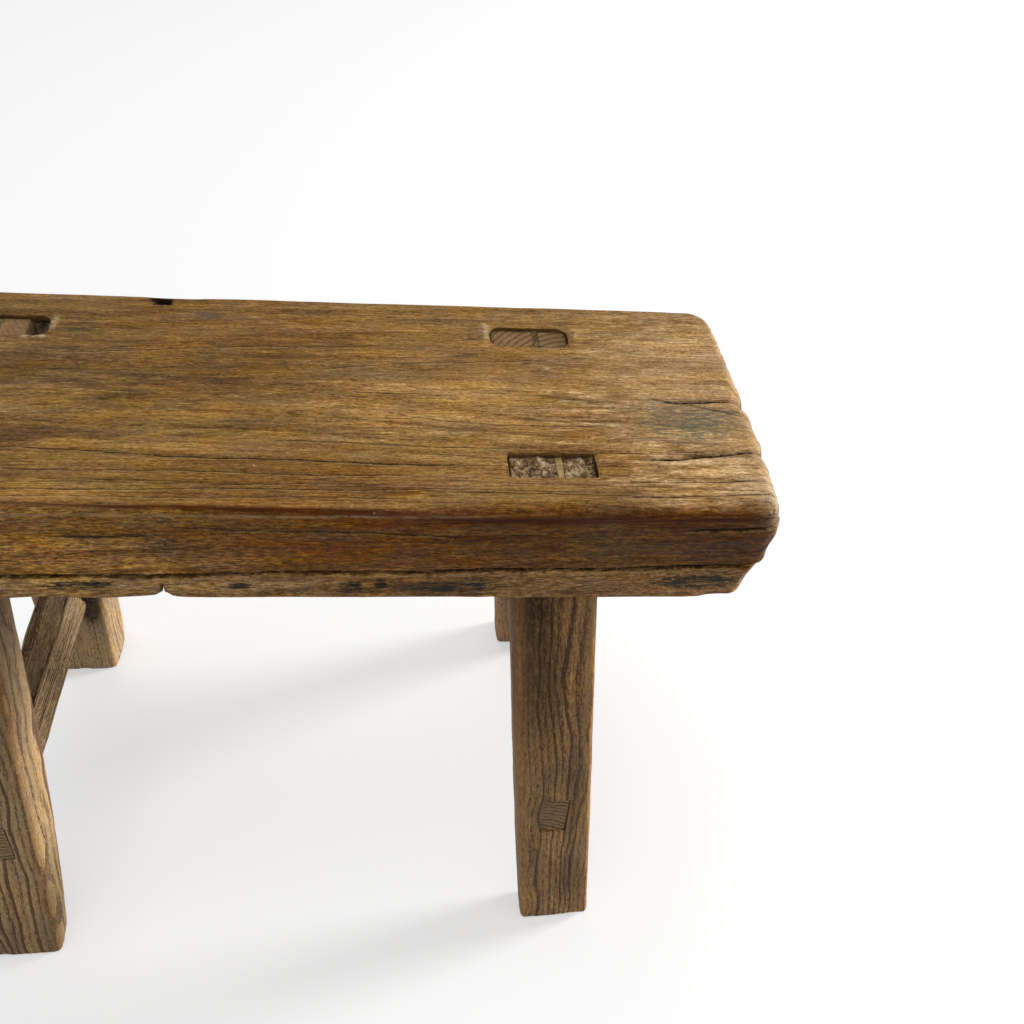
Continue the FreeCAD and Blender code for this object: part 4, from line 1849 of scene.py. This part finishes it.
@dataclass
class Stretcher:
    """Side rail between a front and a rear leg, with a through tenon at each end. Sizes are millimetres."""

    BODY_WEAR = (Wave(0.4, (40, 14, 14)), Wave(0.15, (12, 3, 3)))
    TIP_WEAR = (Wave(0.3, (1.6, 1.6, 1.6)),)
    # How far apart the rails lie in the space of the grain, so that no two look alike
    GRAIN_STEP = 53.0

    side: str
    front: Leg
    rear: Leg
    material: bpy.types.Material
    timber: Timber
    thickness: float = 12.5
    height: float = 20.0
    edge_radius: float = 2.2
    tenon_thickness: float = 9.0
    tenon_height: float = 18.0
    setback: float = 0.4
    fit: float = 0.3
    slack: float = 0.25
    front_thinning: float = 2.0
    ridge_depth: float = 0.75
    mortise_reach: float = 25.0
    tenon_rings: int = 12
    body_rings: int = 130
    level: float = field(init=False)
    start: Points = field(init=False)
    run: Points = field(init=False)

    def __post_init__(self) -> None:
        """Reads the rail's height from its solid and its line from the legs."""
        low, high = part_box("stretcher_" + self.side)
        self.level = (low.z + high.z) / 2 / MM
        ends = [np.array(leg.line.at(np.array(self.level))) for leg in (self.front, self.rear)]
        self.start = ends[0]
        self.run = (ends[1] - ends[0]) / np.linalg.norm(ends[1] - ends[0])

    def on_line(self, a: Points, b: Points, along: Points) -> Points:
        """Lays places out along the rail's line.

        Args:
            a: How far sideways.
            b: How far upwards.
            along: How far along the line.

        Returns:
            Places in the stool's frame.
        """
        x = self.start[0] + self.run[0] * along - self.run[1] * a
        y = self.start[1] + self.run[1] * along + self.run[0] * a
        return np.stack([x, y, self.level + b], axis=1)

    def place(self, local: Points) -> Points:
        """Moves (a, b, station) places onto the rail, with ends and shoulders that follow the legs' faces.

        Args:
            local: Places in the bar. Station 0 is the front tenon's end, 1 and 2 are the shoulders and
                3 is the rear tenon's end.

        Returns:
            Places in the stool's frame.
        """
        height = self.level + local[:, 1]
        stops = [self.front.face_y(height, True) + self.setback, self.front.face_y(height, False),
                 self.rear.face_y(height, False), self.rear.face_y(height, True) - self.setback]
        step = np.clip(np.floor(local[:, 2]).astype(int), 0, 2)
        part = local[:, 2] - step
        stops = np.stack(stops)
        columns = np.arange(len(local))
        y = stops[step, columns] * (1 - part) + stops[step + 1, columns] * part
        return self.on_line(local[:, 0], local[:, 1], (y - self.start[1]) / self.run[1])

    def grain(self, points: Points) -> Points:
        """Tells where each vertex lies in the rail's wood.

        Args:
            points: Vertices of the rail.

        Returns:
            Along, across and deep for each vertex.
        """
        off = points[:, :2] - self.start
        along = off @ self.run
        across = off[:, 0] * self.run[1] - off[:, 1] * self.run[0]
        along = along + self.GRAIN_STEP * self.timber.seed
        return np.stack([along, points[:, 2] - self.level, across], axis=1)

    def bar(self) -> Bar:
        """Rings from the front tenon's end to the rear tenon's end, by station.

        Returns:
            The bar, with stations for its length.
        """
        near = np.linspace(0, 1, self.tenon_rings)
        body = np.linspace(1, 2, self.body_rings)
        counts = (self.tenon_rings, self.body_rings, self.tenon_rings)
        half_a = np.repeat((self.tenon_thickness, self.thickness, self.tenon_thickness), counts)
        half_b = np.repeat((self.tenon_height, self.height, self.tenon_height), counts)
        radius = np.repeat((1.0, self.edge_radius, 1.0), counts)
        along = np.concatenate([near, body, near + 2])
        return Bar(along, half_a / 2, half_b / 2, radius, count_a=24, count_b=36)

    def mortise(self, leg: Leg) -> bpy.types.Object:
        """Makes the cutter for the mortise in one leg.

        Args:
            leg: The leg.

        Returns:
            The cutter.
        """
        middle = (leg.line.at(np.array(self.level))[1] - self.start[1]) / self.run[1]
        size = np.ones(4)
        along = np.linspace(middle - self.mortise_reach, middle + self.mortise_reach, 4)
        bar = Bar(along, size * (self.tenon_thickness / 2 + self.fit),
                  size * (self.tenon_height / 2 + self.fit), size, count_a=6, count_b=8)
        local, _, faces = bar.build()
        local[:, :2] -= self.slack
        return make_object("rail_mortise_" + leg.name, self.on_line(*local.T), faces)

    def build(self) -> bpy.types.Object:
        """Makes the rail.

        Returns:
            The finished piece.
        """
        local, ring, faces = self.bar().build()
        inner = math.copysign(1.0, self.start[0]) * local[:, 0]
        thinned = self.front_thinning * np.clip(1.9 - local[:, 2], 0, 0.9) / (self.thickness / 2)
        local[:, 0] *= 1 - thinned * (inner > 0) * (local[:, 2] > 1)
        piece = make_object("side_rail_" + self.side, self.place(local), faces)
        points = points_of(piece.data)
        normals = normals_of(piece.data)
        grain = self.grain(points)
        noise = WearNoise(70 + self.timber.seed)
        last = self.tenon_rings + self.body_rings
        body = ((ring >= self.tenon_rings) & (ring < last)).astype(float)
        lift = noise.waves(grain, self.BODY_WEAR)
        lift += self.ridge_depth * (ring_ridge(self.timber.rings(grain)) - 0.6)
        lift *= body
        tip = (np.abs(normals @ np.append(self.run, 0.0)) > 0.7) * (1 - body)
        lift += tip * noise.waves(points, self.TIP_WEAR)
        move_points(piece.data, points + normals * lift[:, None])
        grain = self.grain(points_of(piece.data))
        rings = self.timber.rings(grain)
        # Darkening: partly soiling and partly painted shade in the grooves, painted shade on the upper face
        # under the seat, and darker tenon ends. The rub lightens the ridges of the sides: partly wear,
        # partly painted light.
        hollow = 1 - ring_ridge(rings)
        upper = smooth(normals[:, 2], 0.4, 0.8)
        grime = body * (0.3 * hollow + 0.22 * upper) + 0.35 * tip
        paint_wood(piece.data, grain, ring=rings, grime=np.clip(grime, 0, 1),
                   rub=0.4 * (1 - hollow) * (1 - upper) * body, end=0.5 * tip)
        finish_piece(piece, self.material, "stretcher_" + self.side)
        return piece


@dataclass(frozen=True)
class Lamp:
    """Square soft lamp aimed at the middle of the stool, in metres and watts."""

    TARGET = (0.0, 0.0, 0.12)

    name: str
    place: tuple[float, float, float]
    size: float
    power: float

    def build(self) -> None:
        """Adds the lamp."""
        light = bpy.data.lights.new(self.name, "AREA")
        light.shape = "SQUARE"
        light.size = self.size
        light.energy = self.power
        lamp = bpy.data.objects.new(self.name, light)
        bpy.context.scene.collection.objects.link(lamp)
        back = np.array(self.place) - np.array(self.TARGET)
        lamp.location = self.place
        tilt = math.acos(back[2] / np.linalg.norm(back))
        lamp.rotation_euler = (tilt, 0.0, math.atan2(back[0], -back[1]))


@dataclass
class Studio:
    """Plain pale floor, soft light and the camera. Sizes are metres and radians."""

    camera_place: tuple[float, float, float] = (0.0252, -0.1977, 0.386)
    yaw: float = 0.230
    pitch: float = 0.830
    roll: float = 0.166
    focal_pixels: float = 936.0
    sensor: float = 36.0
    floor_half: float = 4.0
    floor_seen: float = 0.55
    floor_white: float = 0.5
    floor_glow: float = 0.32
    world_strength: float = 0.34
    lamps: Sequence[Lamp] = (
        Lamp("window_side", (1.7, 0.42, 0.46), 0.4, 38.0),
        Lamp("ceiling_soft", (-0.15, 0.2, 1.9), 1.2, 9.5),
        Lamp("front_fill", (-0.3, -1.6, 0.9), 1.6, 3.0),
    )

    def build(self) -> None:
        """Adds floor, world, lamps and camera."""
        self.add_floor()
        self.add_world()
        for lamp in self.lamps:
            lamp.build()
        self.add_camera()
        bpy.context.scene.view_settings.view_transform = "Standard"

    def add_floor(self) -> None:
        """Large floor that is pale to the camera, keeps the shadow and throws back less light."""
        half = self.floor_half
        mesh = bpy.data.meshes.new("floor")
        corners = [(-half, -half, 0), (half, -half, 0), (half, half, 0), (-half, half, 0)]
        mesh.from_pydata(corners, [], [(0, 1, 2, 3)])
        floor = bpy.data.objects.new("floor", mesh)
        bpy.context.scene.collection.objects.link(floor)
        material = bpy.data.materials.new("pale_floor")
        material.use_nodes = True
        shader = material.node_tree.nodes["Principled BSDF"]
        graph = Graph(material.node_tree)
        shades = (self.floor_glow, self.floor_seen, 0.0, self.floor_white)
        dim, pale, none, white = [(shade, shade, shade, 1.0) for shade in shades]
        seen = self.straight(graph)
        graph.wire(shader.inputs["Base Color"], graph.mix(seen, dim, pale))
        graph.wire(shader.inputs["Emission Color"], graph.mix(seen, none, white))
        shader.inputs["Emission Strength"].default_value = 1.0
        shader.inputs["Roughness"].default_value = 0.9
        shader.inputs["Specular IOR Level"].default_value = 0.1
        mesh.materials.append(material)

    @staticmethod
    def straight(graph: Graph) -> Wire:
        """Tells straight sight from soft light.

        Args:
            graph: Tree to work in.

        Returns:
            1 for the camera's own rays and those seen in gloss or glass, 0 for soft light.
        """
        path = graph.add("ShaderNodeLightPath")
        kinds = ("Camera", "Glossy", "Transmission")
        camera, gloss, glass = [Wire(graph, path.outputs["Is %s Ray" % kind]) for kind in kinds]
        return camera.larger(gloss).larger(glass)

    def add_world(self) -> None:
        """White surroundings: soft fill for the object, plain white for the camera."""
        world = bpy.data.worlds.new("soft_white")
        bpy.context.scene.world = world
        world.use_nodes = True
        graph = Graph(world.node_tree)
        background = world.node_tree.nodes["Background"]
        background.inputs["Color"].default_value = (1.0, 1.0, 1.0, 1.0)
        strength = self.straight(graph).ramp(0.0, 1.0, self.world_strength, 1.0)
        graph.wire(background.inputs["Strength"], strength)

    def add_camera(self) -> None:
        """Camera at the photographed viewing angle."""
        data = bpy.data.cameras.new("camera")
        data.sensor_width = self.sensor
        data.lens = self.sensor * self.focal_pixels / IMAGE_PIXELS
        data.clip_start = 0.01
        camera = bpy.data.objects.new("camera", data)
        bpy.context.scene.collection.objects.link(camera)
        turn = Matrix.Rotation(-self.yaw, 4, "Z") @ Matrix.Rotation(math.pi / 2 - self.pitch, 4, "X")
        place = Matrix.Translation(self.camera_place)
        camera.matrix_world = place @ turn @ Matrix.Rotation(self.roll, 4, "Z")
        bpy.context.scene.camera = camera


SEAT_CRACKS = (
    Crack(Face.TOP, 109, 137, -1.6, -1.0, 0.3, 0.28, 0.95, 1.2),
    Crack(Face.TOP, 100, 137, -25.1, -21.2, -0.3, 0.3, 1.0, 1.2),
    Crack(Face.TOP, 106, 136, 0.0, -9.5, 0.6, 0.4, 0.6),
    Crack(Face.TOP, 92, 137, -33.8, -32.4, 0.2, 0.2, 0.75, 0.3),
    Crack(Face.TOP, 92, 137, -38.8, -37.6, 0.2, 0.2, 0.75, 0.3),
    Crack(Face.TOP, -58, 30, 15.4, 21.3, 0.6, 0.18, 0.6),
    Crack(Face.TOP, 10, 96, 10.2, 17.4, 0.9, 0.18, 0.65),
    Crack(Face.TOP, 22, 52, 0.8, -0.3, 0.0, 0.16, 0.55),
    Crack(Face.TOP, 28, 92, -6.4, -11.6, -2.6, 0.2, 0.65),
    Crack(Face.TOP, 0, 66, -18.6, -21.3, 0.2, 0.2, 0.65),
    Crack(Face.TOP, -98, 64, -18.0, -27.4, -1.6, 0.17, 0.8, 0.25),
    Crack(Face.TOP, -56, -28, 0.8, -1.2, 0.2, 0.14, 0.5),
    Crack(Face.TOP, -104, 48, -27.5, -31.8, 0.4, 0.15, 0.6),
    Crack(Face.TOP, -108, 72, -31.6, -34.6, -0.5, 0.14, 0.55),
    Crack(Face.TOP, -70, 90, -35.2, -36.6, 0.3, 0.15, 0.6),
    Crack(Face.TOP, -110, 40, -37.4, -39.0, 0.4, 0.14, 0.55),
    Crack(Face.FRONT, -128, 137, 189.6, 189.3, -0.7, 0.62, 1.0, 2.0),
    Crack(Face.FRONT, -24, 50, 206.5, 203.0, 0.2, 0.2, 0.7, 0.4),
    Crack(Face.FRONT, 108, 137, 204.8, 205.5, 0.0, 0.36, 0.95, 0.8),
    Crack(Face.FRONT, -52, -28, 203.5, 203.9, -0.3, 0.35, 0.6, 0.3),
    Crack(Face.FRONT, -42, -22, 197.7, 197.8, 0.1, 0.18, 0.6),
    Crack(Face.FRONT, -72, -54, 207.4, 209.2, 0.0, 0.18, 0.6),
)

SEAT_PATCHES = (
    Patch(Face.TOP, 126, 4, 46, 60, Tint(196, 153, 101), 0.9),
    Patch(Face.TOP, -20, 22, 54, 28, Tint(128, 90, 43), 0.9),
    Patch(Face.TOP, 78, 32, 30, 12, Tint(164, 124, 72), 0.7),
    Patch(Face.TOP, -64, -17, 34, 3.2, Tint(84, 56, 30), 0.7),
    Patch(Face.TOP, 6, -33, 50, 13, Tint(132, 90, 41), 0.9),
    Patch(Face.TOP, 28, 9, 24, 5, Tint(118, 96, 66), 0.5),
    Patch(Face.TOP, -90, 10, 60, 40, Tint(116, 88, 54), 0.6),
    Patch(Face.TOP, -20, 34, 5, 3.0, Tint(104, 94, 78), 0.6),
    Patch(Face.TOP, 52, 8, 8, 3.5, Tint(150, 96, 52), 0.45),
    Patch(Face.TOP, 76, 10, 8, 2.5, Tint(110, 88, 66), 0.5),
    Patch(Face.TOP, 120, -34, 32, 15, Tint(196, 150, 86), 0.9),
    Patch(Face.TOP, -24, 1.5, 40, 6, Tint(129, 92, 41), 0.9),
    Patch(Face.TOP, -66, 13, 11, 13, Tint(131, 93, 41), 0.9),
    Patch(Face.TOP, -66, -28, 12, 11, Tint(133, 96, 46), 0.9),
    Patch(Face.TOP, 47, -6, 50, 14, Tint(194, 147, 84), 0.9),
    Patch(Face.TOP, -33, 17, 17, 12, Tint(174, 131, 70), 0.9),
    Patch(Face.TOP, 9, 24, 22, 12, Tint(140, 97, 41), 0.9),
    Patch(Face.TOP, 116, -12, 15, 10, Tint(182, 138, 76), 0.9),
    Patch(Face.TOP, 30, -36, 24, 4.5, Tint(137, 95, 39), 0.9),
    Patch(Face.TOP, -30, -32.5, 13, 8, Tint(164, 119, 53), 0.9),
    Patch(Face.TOP, -39, -6, 20, 4.5, Tint(130, 97, 47), 0.9),
    Patch(Face.TOP, 117, -9.5, 20, 11, Tint(116, 109, 86), 0.9, Blend.STAIN, 0.7),
    Patch(Face.TOP, -55, 26, 5, 1.6, Tint(58, 52, 30), 0.7, Blend.STAIN, 0.6),
    # Painted shade in the nick at the back edge.
    Patch(Face.TOP, -33.3, 40.5, 3.4, 2.8, Tint(42, 38, 28), 0.8, Blend.STAIN, 0.3),
    Patch(Face.FRONT, 0, 182, 220, 7.4, Tint(206, 164, 110), 1.0, softness=0.25),
    Patch(Face.FRONT, -23, 200, 9, 5, Tint(120, 100, 76), 0.5),
    Patch(Face.FRONT, -46, 198, 56, 15, Tint(178, 132, 72), 0.9),
    Patch(Face.FRONT, 22, 199, 40, 14, Tint(150, 101, 45), 0.9),
    Patch(Face.FRONT, 62, 200, 26, 14, Tint(122, 84, 38), 0.9),
    Patch(Face.FRONT, 114, 199, 36, 13, Tint(128, 88, 40), 0.9),
    Patch(Face.FRONT, 82, 182, 60, 6, Tint(130, 94, 49), 0.7),
    Patch(Face.FRONT, -52, 196, 26, 10, Tint(192, 144, 78), 0.9),
    Patch(Face.FRONT, -30, 193, 40, 4, Tint(176, 131, 71), 0.9),
    Patch(Face.FRONT, 34, 209, 46, 4, Tint(149, 92, 28), 0.9),
    Patch(Face.FRONT, 34, 198, 46, 9, Tint(150, 105, 45), 0.9),
    Patch(Face.FRONT, 125, 197, 15, 12, Tint(118, 80, 36), 0.9),
    Patch(Face.FRONT, 112, 205, 13, 6, Tint(153, 100, 36), 0.9),
    Patch(Face.FRONT, -50, 185, 18, 5, Tint(166, 122, 58), 0.9),
    Patch(Face.FRONT, 40, 182, 28, 6, Tint(112, 76, 34), 0.9),
    Patch(Face.FRONT, -46.5, 185.3, 8, 2.4, Tint(34, 32, 20), 1.0, Blend.STAIN, 0.3),
    Patch(Face.FRONT, -8, 184, 4, 1.5, Tint(34, 28, 18), 1.0, Blend.STAIN, 0.3),
    Patch(Face.FRONT, 21, 182.5, 3.5, 3.0, Tint(34, 30, 18), 1.0, Blend.STAIN, 0.3),
    Patch(Face.FRONT, 29, 184, 1.6, 2.8, Tint(34, 30, 18), 1.0, Blend.STAIN, 0.3),
    Patch(Face.FRONT, 48, 182.3, 13, 2.8, Tint(32, 28, 16), 1.0, Blend.STAIN, 0.3),
    Patch(Face.FRONT, 118, 182.6, 14, 3.2, Tint(42, 38, 24), 1.0, Blend.STAIN, 0.3),
    Patch(Face.FRONT, -42, 203.1, 8, 1.2, Tint(50, 46, 34), 0.85, Blend.STAIN, 0.4),
    Patch(Face.FRONT, -31.5, 203.7, 4, 1.1, Tint(50, 48, 34), 0.8, Blend.STAIN, 0.4),
    Patch(Face.FRONT, -23.5, 209.5, 2.5, 1.6, Tint(56, 48, 36), 0.6, Blend.STAIN, 0.4),
)

SEAT_SPLINTERS = (
    Splinter(-61.5, 28.6, 0.8, 3.8),
    Splinter(-63.6, 22.4, 1.8, 0.9),
    Splinter(-67.6, 22.2, 1.6, 0.8),
    Splinter(60.2, 31.6, 1.3, 1.1, 0.9),
    Splinter(60.7, 28.4, 0.9, 3.6),
    Splinter(88.0, 28.6, 0.8, 2.2),
    Splinter(122.3, 4.2, 0.4, 2.6, 0.3),
    Splinter(77.2, 12.4, 0.9, 0.9, 0.3),
)

SEAT_BITES = (
    Bite((-27.4, -43.5, 178.0), (0.5, 3.2), (-26.9, -43.5, 185.2), (0.15, 3.0)),
    Bite((-33.4, 40.1, 209.8), (1.5, 0.9), (-33.2, 40.0, 214.5), (2.7, 2.0)),
    Bite((-35.9, 40.6, 211.2), (0.7, 0.6), (-36.0, 40.6, 214.5), (1.5, 1.1)),
)

LEGS = {
    "front_left": LegCharacter(
        Timber(-22.0, 12.0, 1.8, 0.012, 2.4, 1, 0.6), end_roughness=0.7, wedge_grime=0.3,
        smudges_and_shade=(SmudgeAndShade((33, 13, 3.4), (10, 2.5, 0.8), 0.8), SmudgeAndShade((44, 13, 2.6), (5, 2.5, 0.6), 0.6),
                 # The spot at 155 mm is painted shade under the seat.
                 SmudgeAndShade((155, 6, 0), (48, 16, 18), 0.32), SmudgeAndShade((10, 0, -14), (30, 9, 9), 0.4))),
    "front_right": LegCharacter(
        Timber(26.0, 10.0, 1.9, 0.01, 2.6, 2, 0.6), end_roughness=1.0, finish=BROWN_LEG_FINISH,
        # The spot at 150 mm is a painted shadow on the upper part of the leg.
        smudges_and_shade=(SmudgeAndShade((150, -8, -8), (48, 12, 12), 0.8), SmudgeAndShade((28, 4, -8), (16, 9, 5), 0.45),
                 SmudgeAndShade((62, 6.5, -8), (24, 1.2, 5), 0.25))),
    "rear_left": LegCharacter(
        Timber(-24.0, -14.0, 1.3, 0.012, 1.4, 3, 0.6), end_roughness=0.5, tenon_corner=2.8, rot_depth=5.0,
        side_bulge=1.4, wedge_grime=0.75, end_grime=0.3, end_rub=0.8, finish=BLEACHED_LEG_FINISH,
        # This spot is painted shade where the rail meets the leg.
        smudges_and_shade=(SmudgeAndShade((66, 8, -13), (20, 5, 6), 1.7),)),
    "rear_right": LegCharacter(
        Timber(16.0, -22.0, 2.0, 0.015, 1.2, 4), end_roughness=0.3, tenon_corner=2.8, wedge_grime=0.8,
        # Lightened shaft: partly its own tone, partly painted light on its shaded inner face.
        end_grime=0.4, face_tone_and_light=0.45, finish=BROWN_LEG_FINISH,
        smudges_and_shade=(SmudgeAndShade((40, 0, 0), (90, 30, 30), 0.12),)),
}
STRETCHER_TIMBER = {
    "left": Timber(-40.0, 6.0, 1.7, 0.004, 0.6, 5),
    "right": Timber(-36.0, -10.0, 1.8, 0.006, 0.7, 6),
}


def build_stool() -> None:
    """Builds and dresses every piece of the stool."""
    groups = GroupMaker()
    seat_look = SeatMaterial(SEAT_FINISH, groups)
    seat_look.mark(SEAT_CRACKS, SEAT_PATCHES)
    seat_look.weather()
    looks = {}
    for finish in (LEG_FINISH, BLEACHED_LEG_FINISH, BROWN_LEG_FINISH, STRETCHER_FINISH, WEDGE_FINISH):
        look = WoodMaterial(finish, groups)
        look.weather()
        looks[finish.name] = look.close()
    lines = {name: LegLine.of(name) for name in LEGS}
    seat = SeatBoard(lines, seat_look.close(), SEAT_CRACKS, SEAT_SPLINTERS, SEAT_BITES)
    seat.build()
    legs = {name: Leg(name, lines[name], seat, looks[kind.finish.name], kind) for name, kind in LEGS.items()}
    rails = {}
    for side, timber in STRETCHER_TIMBER.items():
        look = looks[STRETCHER_FINISH.name]
        rails[side] = Stretcher(side, legs["front_" + side], legs["rear_" + side], look, timber)
    for name, leg in legs.items():
        wedge = Wedge(name, lines[name], looks[WEDGE_FINISH.name], LEGS[name].wedge_grime)
        leg.build([wedge.kerf(), rails[name.split("_")[1]].mortise(leg)])
        wedge.build()
    for rail in rails.values():
        rail.build()


def main() -> None:
    """Builds the stool and its studio."""
    logging.basicConfig(level=logging.INFO, format="%(name)s %(message)s")
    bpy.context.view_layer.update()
    build_stool()
    Studio().build()


if __name__ == "__main__":
    main()
